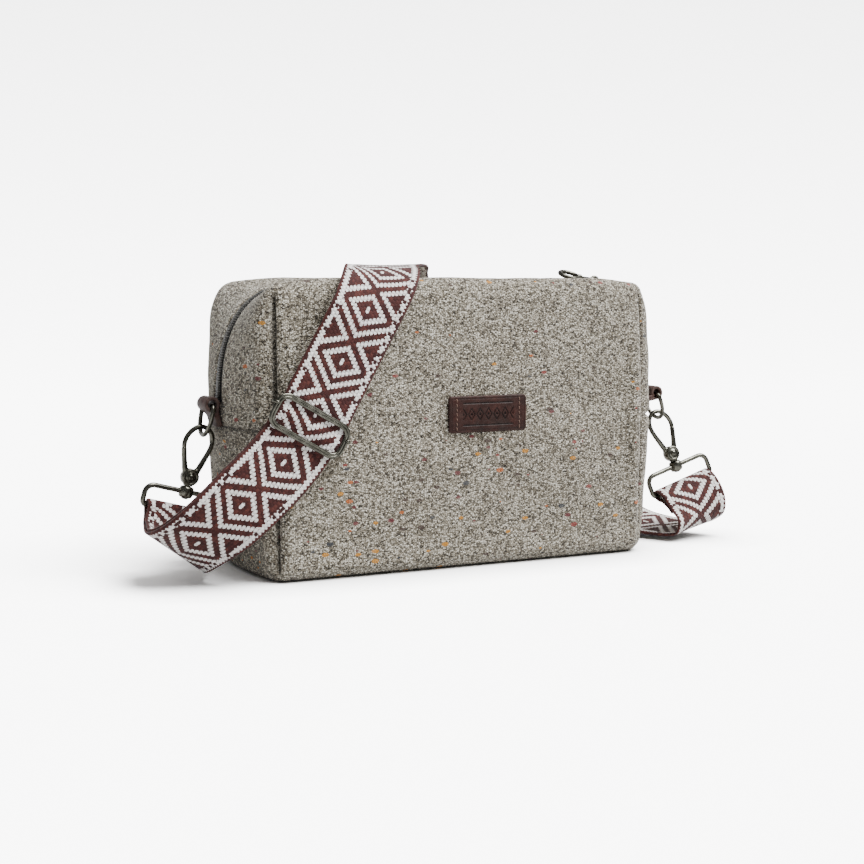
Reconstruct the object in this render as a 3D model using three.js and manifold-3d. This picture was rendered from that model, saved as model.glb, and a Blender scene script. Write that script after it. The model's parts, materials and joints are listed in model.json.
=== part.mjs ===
// A small zip-top cross-body bag: a padded tweed box with a zip over the top, a leather loop and
// D-ring at each end, and a jacquard webbing strap clipped on with two swivel snap hooks.
// Millimetres. Origin at the centre of the bag's flat bottom face: +X right, +Y back, +Z up.
import * as THREE from "three";
import { mergeVertices } from "three/addons/utils/BufferGeometryUtils.js";
import Module from "manifold-3d";

const wasm = await Module();
wasm.setup();

// ---- driving dimensions ----
const CLEAR = 0.3; // gap between pieces that touch in the real bag

const BAG = {
  width: 230, depth: 92, height: 155,
  roundX: 6, roundY: 10, roundTop: 16, roundBottom: 8,
  endBulge: 14, faceBulge: 1,
};
const SHELL_WALL = 1.6;
const FOAM_WALL = 2.7;
const BOARD_THICKNESS = 1.5;
const LINING_WALL = 0.8;

const ZIP = {
  slotHalf: 5, foamSlotHalf: 15, liningSlotHalf: 12, slotBottom: 93,
  tapeHalf: 14, tapeWall: 0.8, teethHalf: 3, meetingHalf: 0.5, teethProud: 0.2, stopHeight: 2,
};
const SLIDER = {
  x: 105, halfLength: 5, plate: 1, flangeInner: 3.3, flangeOuter: 4.6, webHalf: 0.2,
  archSpan: 2.9, archWire: 0.6, hingeRise: 1.9,
};
const PULL = { length: 24, thickness: 1.2, tilt: THREE.MathUtils.degToRad(11) };

const LABEL = { x: 9, z: 85, width: 48, height: 20, thickness: 1.8, corner: 2 };

const STRAP = { width: 40, thickness: 1.4, plyGap: 0.4, y: -52.5, tail: 22 };
const PLY_PITCH = STRAP.thickness + STRAP.plyGap;

const LOOP = { width: 14.5, outer: 5, inner: 3, seamZ: 80 };
const RING = { wire: 1.25, half: 8.9, height: 16, corner: 2.2, barDrop: 0.8 };
const HOOK = { wire: 1.4, bow: 7.7, bowZ: 28.4, bossZ: 8, boss: 4, gateTopZ: 23.8 };
const BAIL = { wire: 1.4, half: 22.2, cornerTop: 4.8, cornerBottom: 2, ball: 3.3 };
const WRAP = BAIL.wire + 2 * CLEAR + STRAP.thickness / 2; // strap centre line round a bail's bar

const ADJUSTER = { halfLength: 21.4, halfHeight: 8.4, wire: 1.1, corner: 6, bar: 0.9, barZ: 2.5 };

const SIDES = 6; // facets round a wire

// Each end's hardware: the loop's hole, the ring's lean, the bail's bar, the hook's axis and outward side.
const LEFT = {
  loop: new THREE.Vector3(-134.5, 0, 92),
  tabFoot: new THREE.Vector3(-130.2, 0, LOOP.seamZ),
  ringLean: THREE.MathUtils.degToRad(-12),
  axis: new THREE.Vector3(0.26, 0, 0.966).normalize(),
  outward: new THREE.Vector3(-0.966, 0, 0.26),
  bailHeight: 11,
  bar: new THREE.Vector3(-150.4, 0, 35),
};
const RIGHT = {
  loop: new THREE.Vector3(149, 0, 89.2),
  tabFoot: new THREE.Vector3(131, 0, LOOP.seamZ),
  ringLean: THREE.MathUtils.degToRad(20),
  axis: new THREE.Vector3(-0.3, 0.18, 0.937).normalize(),
  outward: new THREE.Vector3(0.952, 0, 0.307),
  bailHeight: 12.5,
  bar: new THREE.Vector3(167.5, -9, 32),
};

// ---- materials ----
const MATERIALS = {
  tweed: new THREE.MeshStandardMaterial({ color: 0x8f8a80, roughness: 0.95 }),
  foam: new THREE.MeshStandardMaterial({ color: 0xe8e6df, roughness: 0.9 }),
  lining: new THREE.MeshStandardMaterial({ color: 0x3a3a3c, roughness: 0.8 }),
  board: new THREE.MeshStandardMaterial({ color: 0x6d6a63, roughness: 0.7 }),
  tape: new THREE.MeshStandardMaterial({ color: 0x2c2c2e, roughness: 0.85 }),
  teeth: new THREE.MeshStandardMaterial({ color: 0x3c3c3e, roughness: 0.4 }),
  metal: new THREE.MeshStandardMaterial({ color: 0x5c5e54, roughness: 0.35, metalness: 1 }),
  leather: new THREE.MeshStandardMaterial({ color: 0x4a2a22, roughness: 0.55 }),
  webbing: new THREE.MeshStandardMaterial({ color: 0x6b3632, roughness: 0.85 }),
};

// ---- joining and cutting ----
function solidOf(geometry) {
  const bare = geometry.clone();
  bare.deleteAttribute("normal");
  bare.deleteAttribute("uv");
  const merged = mergeVertices(bare, 1e-4);
  return new wasm.Manifold(new wasm.Mesh({
    numProp: 3,
    vertProperties: merged.attributes.position.array,
    triVerts: new Uint32Array(merged.index.array),
  }));
}

function geometryOf(solid) {
  const mesh = solid.getMesh();
  const geometry = new THREE.BufferGeometry();
  geometry.setAttribute("position", new THREE.BufferAttribute(mesh.vertProperties, 3));
  geometry.setIndex(new THREE.BufferAttribute(mesh.triVerts, 1));
  geometry.computeVertexNormals();
  return geometry;
}

function join(first, ...others) {
  return geometryOf(others.reduce((sum, g) => sum.add(solidOf(g)), solidOf(first)));
}

function cut(body, ...tools) {
  return geometryOf(tools.reduce((rest, g) => rest.subtract(solidOf(g)), solidOf(body)));
}

function keepInside(body, region) {
  return geometryOf(solidOf(body).intersect(solidOf(region)));
}

// ---- simple shapes ----
function block(x0, x1, y0, y1, z0, z1) {
  const box = new THREE.BoxGeometry(x1 - x0, y1 - y0, z1 - z0);
  return box.translate((x0 + x1) / 2, (y0 + y1) / 2, (z0 + z1) / 2);
}

function diskAlongY(radius, y0, y1, x, z, segments = 20) {
  return new THREE.CylinderGeometry(radius, radius, y1 - y0, segments).translate(x, (y0 + y1) / 2, z);
}

function rodAlongZ(radius, z0, z1, segments = 16) {
  const rod = new THREE.CylinderGeometry(radius, radius, z1 - z0, segments);
  return rod.rotateX(Math.PI / 2).translate(0, 0, (z0 + z1) / 2);
}

function roundShape(radius, sides = SIDES) {
  const points = [];
  for (let i = 0; i < sides; i++) {
    const angle = (2 * Math.PI * i) / sides;
    points.push(new THREE.Vector2(radius * Math.cos(angle), radius * Math.sin(angle)));
  }
  return new THREE.Shape(points);
}

// A wire that starts and stops, along points joined by a smooth curve.
function openWire(points, radius, steps) {
  const path = new THREE.CatmullRomCurve3(points, false, "centripetal");
  return new THREE.ExtrudeGeometry(roundShape(radius), { extrudePath: path, steps, bevelEnabled: false });
}

// A wire bent into a closed ring, from a flat outline mapped into space by place(x, y).
function closedWire(outline, radius, steps, place) {
  const points = outline.getSpacedPoints(steps).slice(0, -1).map((p) => place(p.x, p.y));
  const path = new THREE.CatmullRomCurve3(points, true, "centripetal");
  return new THREE.TubeGeometry(path, steps, radius, SIDES, true);
}

function roundedRectangle(halfX, halfY, corner, cornerLow = corner) {
  const path = new THREE.Path();
  path.moveTo(0, halfY);
  path.lineTo(halfX - corner, halfY);
  path.absarc(halfX - corner, halfY - corner, corner, Math.PI / 2, 0, true);
  path.lineTo(halfX, -halfY + cornerLow);
  path.absarc(halfX - cornerLow, -halfY + cornerLow, cornerLow, 0, -Math.PI / 2, true);
  path.lineTo(-halfX + cornerLow, -halfY);
  path.absarc(-halfX + cornerLow, -halfY + cornerLow, cornerLow, -Math.PI / 2, -Math.PI, true);
  path.lineTo(-halfX, halfY - corner);
  path.absarc(-halfX + corner, halfY - corner, corner, Math.PI, Math.PI / 2, true);
  path.lineTo(0, halfY);
  return path;
}

// ---- bag body ----
const smoothEnds = (u) => Math.sin((u * Math.PI) / 2); // crowds grid lines towards the edges

// The bag's rounded, slightly pillowed box, shrunk by inset on the sides and top and by floor below.
function pillow(inset, floor = inset) {
  const half = new THREE.Vector3(BAG.width / 2 - inset, BAG.depth / 2 - inset, 0);
  const low = floor;
  const high = BAG.height - inset;
  const round = (r) => Math.max(r - inset, 1.5);
  const grid = new THREE.BoxGeometry(2, 2, 2, 8, 6, 7);
  const position = grid.attributes.position;
  for (let i = 0; i < position.count; i++) {
    const x = half.x * smoothEnds(position.getX(i));
    const y = half.y * smoothEnds(position.getY(i));
    const z = (low + high) / 2 + ((high - low) / 2) * smoothEnds(position.getZ(i));
    const roundZ = round(z > (low + high) / 2 ? BAG.roundTop : BAG.roundBottom);
    const core = new THREE.Vector3(
      THREE.MathUtils.clamp(x, -half.x + round(BAG.roundX), half.x - round(BAG.roundX)),
      THREE.MathUtils.clamp(y, -half.y + round(BAG.roundY), half.y - round(BAG.roundY)),
      THREE.MathUtils.clamp(z, low + roundZ, high - roundZ),
    );
    const out = new THREE.Vector3(
      (x - core.x) / round(BAG.roundX), (y - core.y) / round(BAG.roundY), (z - core.z) / roundZ,
    );
    if (out.length() > 0) out.normalize();
    const px = core.x + out.x * round(BAG.roundX);
    const py = core.y + out.y * round(BAG.roundY);
    const pz = core.z + out.z * roundZ;
    const swell = Math.sin((Math.PI * (pz - low)) / (high - low));
    const endSwell = BAG.endBulge * swell * (1 - (py / half.y) ** 2) * (px / half.x) ** 3;
    const faceSwell = BAG.faceBulge * swell * (1 - (px / half.x) ** 2) * (py / half.y) ** 3;
    position.setXYZ(i, px + endSwell, py + faceSwell, pz);
  }
  return grid;
}

function wall(outerInset, thickness, outerFloor = outerInset, innerFloor = outerFloor + thickness) {
  return cut(pillow(outerInset, outerFloor), pillow(outerInset + thickness, innerFloor));
}

const zipOpening = (half, bottom = ZIP.slotBottom) =>
  block(-BAG.width, BAG.width, -half, half, bottom, BAG.height * 2);

const FOAM_INSET = SHELL_WALL + CLEAR;
const LINING_INSET = FOAM_INSET + FOAM_WALL + CLEAR;
const BOARD_Z = LINING_INSET + CLEAR;
const LINING_FLOOR = BOARD_Z + BOARD_THICKNESS + CLEAR;

const tweedShell = () => cut(wall(0, SHELL_WALL), zipOpening(ZIP.slotHalf));

const foamPadding = () =>
  cut(wall(FOAM_INSET, FOAM_WALL), zipOpening(ZIP.foamSlotHalf, ZIP.slotBottom - 8));

const lining = () =>
  cut(wall(LINING_INSET, LINING_WALL, LINING_FLOOR), zipOpening(ZIP.liningSlotHalf));

function baseBoard() {
  const margin = BAG.roundBottom + 2;
  const outline = roundedRectangle(BAG.width / 2 - margin, BAG.depth / 2 - margin, 8);
  const plate = new THREE.ExtrudeGeometry(new THREE.Shape(outline.getPoints(6)), {
    depth: BOARD_THICKNESS, bevelEnabled: false, curveSegments: 6,
  });
  return plate.translate(0, 0, BOARD_Z);
}

// ---- zip ----
// side is -1 for the front half and +1 for the rear half.
function zipStrip(side, inset, thickness, halfWidth, bottom) {
  const near = side * ZIP.meetingHalf;
  const far = side * halfWidth;
  const region = block(-BAG.width, BAG.width, Math.min(near, far), Math.max(near, far), bottom, BAG.height * 2);
  return keepInside(wall(inset, thickness), region);
}

const zipTape = (side) =>
  zipStrip(side, SHELL_WALL + CLEAR, ZIP.tapeWall, ZIP.tapeHalf, ZIP.slotBottom - 5);

const zipTeeth = (side) =>
  zipStrip(side, ZIP.teethProud, SHELL_WALL - ZIP.teethProud, ZIP.teethHalf,
    ZIP.slotBottom + ZIP.stopHeight + 3 * CLEAR);

function zipStop(side) {
  const region = block(Math.min(0, side * BAG.width), Math.max(0, side * BAG.width),
    -ZIP.teethHalf, ZIP.teethHalf, ZIP.slotBottom + CLEAR, ZIP.slotBottom + CLEAR + ZIP.stopHeight);
  return keepInside(wall(ZIP.teethProud, SHELL_WALL - ZIP.teethProud), region);
}

const PLATE_Z = BAG.height - ZIP.teethProud + CLEAR;
const PULL_HINGE = new THREE.Vector3(SLIDER.x + 3, 0, PLATE_Z + SLIDER.plate + SLIDER.hingeRise);

function zipSlider() {
  const x0 = SLIDER.x - SLIDER.halfLength;
  const x1 = SLIDER.x + SLIDER.halfLength;
  const top = PLATE_Z + SLIDER.plate;
  const flangeBottom = BAG.height - SHELL_WALL + 0.1;
  const tapeBottom = BAG.height - SHELL_WALL - CLEAR - ZIP.tapeWall;
  const plate = block(x0, x1, -SLIDER.flangeOuter, SLIDER.flangeOuter, PLATE_Z, top);
  const flange = (side) => block(x0, x1,
    Math.min(side * SLIDER.flangeInner, side * SLIDER.flangeOuter),
    Math.max(side * SLIDER.flangeInner, side * SLIDER.flangeOuter), flangeBottom, top);
  const lowerTop = tapeBottom - CLEAR - 0.1;
  const web = block(x0, x0 + 3, -SLIDER.webHalf, SLIDER.webHalf, lowerTop - 0.5, top - 0.5);
  const lowerPlate = block(x0, x0 + 3.5, -SLIDER.flangeOuter, SLIDER.flangeOuter, lowerTop - SLIDER.plate, lowerTop);
  const arch = openWire([
    new THREE.Vector3(PULL_HINGE.x - SLIDER.archSpan, 0, top - 0.5),
    new THREE.Vector3(PULL_HINGE.x - SLIDER.archSpan, 0, PULL_HINGE.z),
    new THREE.Vector3(PULL_HINGE.x, 0, PULL_HINGE.z + 2),
    new THREE.Vector3(PULL_HINGE.x + SLIDER.archSpan - 1, 0, PULL_HINGE.z),
    new THREE.Vector3(PULL_HINGE.x + SLIDER.archSpan - 1, 0, top - 0.5),
  ], SLIDER.archWire, 10);
  return join(plate, flange(-1), flange(1), web, lowerPlate, arch);
}

// The puller lies towards -X from its hinge: an eye over the slider's arch, a blade, an oval ring.
function zipPull() {
  const outline = new THREE.Shape();
  outline.moveTo(0.6, -2.3);
  outline.lineTo(0.6, 2.3);
  outline.lineTo(-6, 2.3);
  outline.lineTo(-11, 1.9);
  outline.absellipse(-PULL.length + 6.5, 0, 6.5, 4.8, Math.PI * 0.13, Math.PI * 1.87, false);
  outline.lineTo(-11, -1.9);
  outline.lineTo(-6, -2.3);
  outline.lineTo(0.6, -2.3);
  const eye = new THREE.Path();
  eye.moveTo(-0.6, -1.25);
  eye.lineTo(-0.6, 1.25);
  eye.lineTo(-4.6, 1.25);
  eye.lineTo(-4.6, -1.25);
  const ringHole = new THREE.Path();
  ringHole.absellipse(-PULL.length + 6.2, 0, 4.4, 2.9, 0, Math.PI * 2, false);
  outline.holes.push(eye, ringHole);
  const plate = new THREE.ExtrudeGeometry(outline, {
    depth: PULL.thickness, bevelEnabled: false, curveSegments: 14,
  });
  plate.translate(0, 0, -PULL.thickness / 2);
  plate.rotateY(PULL.tilt);
  return plate.translate(PULL_HINGE.x, PULL_HINGE.y, PULL_HINGE.z);
}

// ---- leather ----
function labelPatch() {
  const outline = roundedRectangle(LABEL.width / 2, LABEL.height / 2, LABEL.corner);
  const plate = new THREE.ExtrudeGeometry(new THREE.Shape(outline.getPoints(4)), {
    depth: LABEL.thickness, bevelEnabled: false, curveSegments: 4,
  });
  const face = -BAG.depth / 2 - BAG.faceBulge - CLEAR;
  return plate.rotateX(Math.PI / 2).translate(LABEL.x, face, LABEL.z);
}

// A strip folded into a tube that holds the D-ring, with a tab down to the end seam.
function leatherLoop(end) {
  const tube = diskAlongY(LOOP.outer, -LOOP.width / 2, LOOP.width / 2, end.loop.x, end.loop.z, 28);
  const inner = Math.sign(end.loop.x);
  const shoulder = end.loop.clone().add(new THREE.Vector3(-inner * (LOOP.outer - 1), 0, -0.5));
  const tabRun = end.tabFoot.clone().sub(shoulder);
  const tab = new THREE.BoxGeometry(tabRun.length(), LOOP.width, 1.9);
  tab.rotateY(Math.atan2(-tabRun.z, tabRun.x));
  tab.translate(shoulder.x + tabRun.x / 2, 0, shoulder.z + tabRun.z / 2);
  const hole = diskAlongY(LOOP.inner, -LOOP.width, LOOP.width, end.loop.x, end.loop.z, 24);
  return cut(join(tube, tab), hole);
}

// ---- metal hardware ----
function ringBar(end) {
  return end.loop.clone().add(new THREE.Vector3(0, 0, -RING.barDrop));
}

function dRing(end) {
  const outline = new THREE.Path();
  outline.moveTo(0, 0);
  const cornerX = RING.half - RING.corner;
  outline.lineTo(cornerX, 0);
  outline.absarc(cornerX, -RING.corner, RING.corner, Math.PI / 2, 0, true);
  outline.lineTo(RING.half, -5);
  outline.absellipse(0, -5, RING.half, RING.height - 5, 0, -Math.PI, true);
  outline.lineTo(-RING.half, -RING.corner);
  outline.absarc(-cornerX, -RING.corner, RING.corner, Math.PI, Math.PI / 2, true);
  outline.lineTo(0, 0);
  const bar = ringBar(end);
  const down = new THREE.Vector3(Math.sin(end.ringLean), 0, -Math.cos(end.ringLean));
  const place = (x, y) => new THREE.Vector3(bar.x - down.x * y, bar.y + x, bar.z - down.z * y);
  return closedWire(outline, RING.wire, 32, place);
}

// The swivel hardware's own frame: origin at the swivel ball, +X outward along the bail, +Z up the hook.
function hardwareFrame(end) {
  const ez = end.axis.clone();
  const ex = end.outward.clone().addScaledVector(ez, -end.outward.dot(ez)).normalize();
  const ey = ez.clone().cross(ex);
  const ball = end.bar.clone().addScaledVector(ez, end.bailHeight);
  return new THREE.Matrix4().makeBasis(ex, ey, ez).setPosition(ball);
}

function bail(end) {
  const half = end.bailHeight / 2;
  const place = (x, y) => new THREE.Vector3(x, 0, y - half);
  const outline = roundedRectangle(BAIL.half, half, BAIL.cornerTop, BAIL.cornerBottom);
  const loop = closedWire(outline, BAIL.wire, 44, place);
  const ball = new THREE.SphereGeometry(BAIL.ball, 12, 7);
  return cut(join(loop, ball), rodAlongZ(1.3, -BAIL.ball - 1, BAIL.ball + 1));
}

const NECK_BOTTOM = BAIL.ball + CLEAR;

function hookBody() {
  const bowPoints = [];
  for (let i = 0; i <= 12; i++) {
    const angle = THREE.MathUtils.degToRad(-12 + (i * 214) / 12);
    bowPoints.push(new THREE.Vector3(-HOOK.bow * Math.cos(angle), 0, HOOK.bowZ + HOOK.bow * Math.sin(angle)));
  }
  const limb = [new THREE.Vector3(-1.9, 0, HOOK.bossZ + 2.6), new THREE.Vector3(-4.7, 0, 15.5)];
  const wire = openWire([...limb, ...bowPoints], HOOK.wire, 30);
  const boss = diskAlongY(HOOK.boss, -2.9, 2.9, 0, HOOK.bossZ);
  const neck = rodAlongZ(2.5, NECK_BOTTOM, HOOK.bossZ);
  const knuckleRoom = diskAlongY(2.9, -1.5, 1.5, 0, HOOK.bossZ);
  const gateRoom = block(-0.4, 6, -1.5, 1.5, HOOK.bossZ, HOOK.bossZ + 6);
  const rivetBore = diskAlongY(1.3, -4, 4, 0, HOOK.bossZ);
  const postBore = rodAlongZ(1.3, NECK_BOTTOM - 1, HOOK.bossZ - 2.4);
  return cut(join(wire, boss, neck), knuckleRoom, gateRoom, rivetBore, postBore);
}

// The sprung gate on the outward limb: a knuckle round the rivet and a straight wire up to the nose.
function hookGate() {
  const knuckle = diskAlongY(2.6, -1.2, 0.2, 0, HOOK.bossZ);
  const limb = openWire([
    new THREE.Vector3(1.2, 0, HOOK.bossZ + 2.1),
    new THREE.Vector3(4.6, 0, 15.2),
    new THREE.Vector3(HOOK.bow - 0.4, 0, HOOK.gateTopZ),
  ], 1.15, 8);
  return cut(join(knuckle, limb), diskAlongY(1.3, -2, 2, 0, HOOK.bossZ));
}

function gateRivet() {
  const profile = [[0, -4], [1.7, -3.9], [2.2, -3.5], [2.2, -3.2], [1, -3.2], [1, 3.2], [2.2, 3.2],
    [2.2, 3.5], [1.7, 3.9], [0, 4]].map(([r, y]) => new THREE.Vector2(r, y));
  return new THREE.LatheGeometry(profile, 16).translate(0, 0, HOOK.bossZ);
}

// One turn of spring wire beside the knuckle.
function gateSpring() {
  const points = [];
  for (let i = 0; i <= 10; i++) {
    const angle = THREE.MathUtils.degToRad(100 + i * 31);
    points.push(new THREE.Vector3(1.9 * Math.cos(angle), 0.85, HOOK.bossZ + 1.9 * Math.sin(angle)));
  }
  return openWire(points, 0.28, 16);
}

function swivelPost() {
  const top = HOOK.bossZ - 2.9 - CLEAR;
  const head = -BAIL.ball - CLEAR;
  const profile = [[0, head - 1.2], [1.5, head - 1.1], [2, head - 0.6], [2, head], [1, head], [1, top],
    [0, top]].map(([r, z]) => new THREE.Vector2(r, z));
  return new THREE.LatheGeometry(profile, 16).rotateX(Math.PI / 2);
}

// ---- strap ----
// The straight run down the bag's front, and the adjuster's place on it.
const RUN_TOP = new THREE.Vector3(-66.2, STRAP.y, 140);
const RUN_FOOT = new THREE.Vector3(-100.3, STRAP.y, 80);
const RUN_UP = RUN_TOP.clone().sub(RUN_FOOT).normalize();
const RUN_ACROSS = new THREE.Vector3(RUN_UP.z, 0, -RUN_UP.x);
const ADJUSTER_AT = RUN_FOOT.clone().addScaledVector(RUN_UP, 3.6);

// Where the strap lies: centre and width direction, from the right bail round the back, over the
// top, down the front and round to the left bail.
function strapStations() {
  const at = (x, y, z, wx, wy, wz) => ({
    centre: new THREE.Vector3(x, y, z), across: new THREE.Vector3(wx, wy, wz).normalize(),
  });
  const onRun = (share) => ({ centre: RUN_FOOT.clone().lerp(RUN_TOP, share), across: RUN_ACROSS.clone() });
  return [
    at(169.5, -22, 23, 0.94, 0.05, 0.33),
    at(170, -24, 14, 0.95, 0.15, 0.2),
    at(168.5, -19.5, 7.5, 0.94, 0.3, 0.13),
    at(164, -10, 5.5, 0.89, 0.44, 0.1),
    at(157, 4, 6, 0.87, 0.47, 0.12),
    at(149, 18, 8, 0.86, 0.46, 0.18),
    at(141, 33, 12.5, 0.84, 0.4, 0.33),
    at(132, 46, 20.5, 0.78, 0.22, 0.57),
    at(116, 51.3, 32.5, 0.68, 0.03, 0.73),
    at(85, 51, 57, 0.7, 0, 0.71),
    at(45, 51, 98, 0.7, 0, 0.71),
    at(8, 51, 136, 0.76, 0, 0.65),
    at(-1, 46, 154, 0.84, -0.3, 0.4),
    at(-10, 31, 162.6, 0.84, -0.5, 0.1),
    at(-32, 0, 165.3, 0.88, -0.46, 0),
    at(-45.5, -30, 163, 0.9, -0.38, -0.12),
    at(-56.5, -46.5, 155, 0.89, -0.2, -0.38),
    onRun(1), onRun(0.66), onRun(0.33), onRun(0),
    at(-113.2, STRAP.y, 64.3, 0.74, 0, -0.67),
    at(-131, -51.5, 47.5, 0.7, 0, -0.71),
    at(-147, -46, 32, 0.76, 0.1, -0.64),
    at(-158, -34, 21, 0.76, 0.2, -0.62),
    at(-160.5, -21, 17.5, 0.8, 0.15, -0.58),
    at(-156.5, -9.5, 21.5, 0.89, 0.05, -0.42),
  ];
}

// A frame on the strap: its centre, its width direction and the direction its face looks.
const frameOf = (centre, across, along) => ({
  centre, across, face: along.clone().cross(across).normalize(),
});

// The bend round a bail's bar: n0 is where the outer ply's face looks there, t0 the way it runs.
function barFrame(end, inward, along) {
  const across = end.outward.clone().addScaledVector(end.axis, -end.outward.dot(end.axis)).normalize();
  if (inward) across.negate();
  const t0 = along.clone().addScaledVector(across, -along.dot(across)).normalize();
  return { across, t0, n0: t0.clone().cross(across) };
}

const RIGHT_BAR = barFrame(RIGHT, false, new THREE.Vector3(0, -0.9, -0.35));
const LEFT_BAR = barFrame(LEFT, true, new THREE.Vector3(0.2, 0.6, 0.77));

const STRAIGHT_BY_BAR = 5;
const CLOSING_RUN = 17; // from the bar to where the two plies lie flat together

function besideBar(bar, { across, t0, n0 }, run) {
  return { centre: bar.clone().addScaledVector(n0, WRAP).addScaledVector(t0, run), across };
}

function outerPly() {
  const stations = [
    besideBar(RIGHT.bar, RIGHT_BAR, 0), besideBar(RIGHT.bar, RIGHT_BAR, STRAIGHT_BY_BAR),
    ...strapStations(),
    besideBar(LEFT.bar, LEFT_BAR, -STRAIGHT_BY_BAR), besideBar(LEFT.bar, LEFT_BAR, 0),
  ];
  const centres = new THREE.CatmullRomCurve3(stations.map((s) => s.centre), false, "centripetal");
  const widths = new THREE.CatmullRomCurve3(stations.map((s) => s.across), false, "centripetal");
  const perSpan = 4;
  const steps = (stations.length - 1) * perSpan;
  const frames = [];
  for (let i = 0; i <= steps; i++) {
    const along = centres.getTangent(i / steps);
    const across = widths.getPoint(i / steps);
    across.addScaledVector(along, -across.dot(along)).normalize();
    frames.push(frameOf(centres.getPoint(i / steps), across, along));
  }
  return frames;
}

// The half turn round a bar, from the outer ply's side to the inner ply's.
function bendRound(bar, { across, t0, n0 }, towards) {
  const frames = [];
  for (let i = 1; i < 8; i++) {
    const angle = (Math.PI * i) / 8;
    const face = n0.clone().multiplyScalar(Math.cos(angle)).addScaledVector(t0, towards * Math.sin(angle));
    frames.push({ centre: bar.clone().addScaledVector(face, WRAP), across: across.clone(), face });
  }
  return frames;
}

// A second ply lying inside the outer one, for the given length from the bar.
function innerPly(frames, length) {
  const made = [];
  let gone = 0;
  for (let i = 0; i < frames.length && gone <= length; i++) {
    if (i > 0) gone += frames[i].centre.distanceTo(frames[i - 1].centre);
    const closing = THREE.MathUtils.smoothstep(gone, STRAIGHT_BY_BAR / 2, CLOSING_RUN);
    const drop = THREE.MathUtils.lerp(2 * WRAP, PLY_PITCH, closing);
    made.push({
      centre: frames[i].centre.clone().addScaledVector(frames[i].face, -drop),
      across: frames[i].across.clone(), face: frames[i].face.clone().negate(),
    });
  }
  return made;
}

// A path whose frames are given, so that an extruded band keeps its own twist.
class BandPath extends THREE.Curve {
  constructor(frames) {
    super();
    this.frames = frames;
  }
  getPoint(t, target = new THREE.Vector3()) {
    const last = this.frames.length - 1;
    return target.copy(this.frames[Math.round(t * last)].centre);
  }
  getSpacedPoints() {
    return this.frames.map((f) => f.centre.clone());
  }
  computeFrenetFrames() {
    return {
      tangents: this.frames.map((f) => f.across.clone().cross(f.face)),
      normals: this.frames.map((f) => f.face.clone()),
      binormals: this.frames.map((f) => f.across.clone().negate()),
    };
  }
}

function band(frames, width, thickness) {
  const section = new THREE.Shape();
  section.moveTo(-thickness / 2, -width / 2);
  section.lineTo(thickness / 2, -width / 2);
  section.lineTo(thickness / 2, width / 2);
  section.lineTo(-thickness / 2, width / 2);
  return new THREE.ExtrudeGeometry(section, {
    extrudePath: new BandPath(frames), steps: frames.length - 1, bevelEnabled: false,
  });
}

function strapWebbing() {
  const outer = outerPly();
  const tail = innerPly(outer, STRAP.tail).reverse();
  const rightBend = bendRound(RIGHT.bar, RIGHT_BAR, -1).reverse();
  const leftBend = bendRound(LEFT.bar, LEFT_BAR, 1);
  const backwards = [...outer].reverse();
  const returnLength = backwards.findIndex((f) => f.centre.distanceTo(ADJUSTER_AT) < 16);
  let length = 0;
  for (let i = 1; i < returnLength; i++) length += backwards[i].centre.distanceTo(backwards[i - 1].centre);
  const returned = innerPly(backwards, length);
  return band([...tail, ...rightBend, ...outer, ...leftBend, ...returned], STRAP.width, STRAP.thickness);
}

// ---- adjuster: local +X across the strap, +Y into the bag, +Z up the strap ----
const FRAME_Y = -STRAP.thickness / 2 - CLEAR - ADJUSTER.wire;
const END_WALL = 0.9; // the webbing's folded end is pressed thinner round the bar
const BAR_Y = STRAP.thickness / 2 + 2 * CLEAR + END_WALL + ADJUSTER.bar;

function adjusterMatrix() {
  const ey = RUN_UP.clone().cross(RUN_ACROSS);
  return new THREE.Matrix4().makeBasis(RUN_ACROSS, ey, RUN_UP).setPosition(ADJUSTER_AT);
}

function adjusterFrame() {
  const place = (x, y) => new THREE.Vector3(x, FRAME_Y, y);
  const outline = roundedRectangle(ADJUSTER.halfLength, ADJUSTER.halfHeight, ADJUSTER.corner);
  return closedWire(outline, ADJUSTER.wire, 44, place);
}

// The centre bar: behind the strap, its ends curled forward round the frame's short sides.
function adjusterBar() {
  const reach = ADJUSTER.halfLength + ADJUSTER.wire + CLEAR + ADJUSTER.bar;
  const right = [
    new THREE.Vector3(reach / 2, BAR_Y, ADJUSTER.barZ),
    new THREE.Vector3(reach - 3, BAR_Y, ADJUSTER.barZ),
    new THREE.Vector3(reach - 0.6, BAR_Y - 0.6, ADJUSTER.barZ),
    new THREE.Vector3(reach, BAR_Y - 3, ADJUSTER.barZ),
    new THREE.Vector3(reach, FRAME_Y - 0.6, ADJUSTER.barZ),
  ];
  const left = right.map((p) => new THREE.Vector3(-p.x, p.y, p.z)).reverse();
  return openWire([...left, ...right], ADJUSTER.bar, 26);
}

function strapReturnEnd() {
  const half = STRAP.width / 2 - 0.2;
  const along = (g) => g.rotateZ(-Math.PI / 2);
  const tube = (r, h) => along(new THREE.CylinderGeometry(r, r, 2 * h, 20)).translate(0, BAR_Y, ADJUSTER.barZ);
  const inner = ADJUSTER.bar + CLEAR;
  const tailFace = BAR_Y - inner - END_WALL;
  const tail = block(-half, half, tailFace + 0.2, tailFace + 0.2 + END_WALL, -8, ADJUSTER.barZ - 1.4);
  return cut(join(tube(inner + END_WALL, half), tail), tube(inner, half + 1));
}

// ---- assembly ----
const bag = new THREE.Group();

function add(name, geometry, material, parent = bag) {
  const mesh = new THREE.Mesh(geometry, MATERIALS[material]);
  mesh.name = name;
  parent.add(mesh);
}

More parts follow.
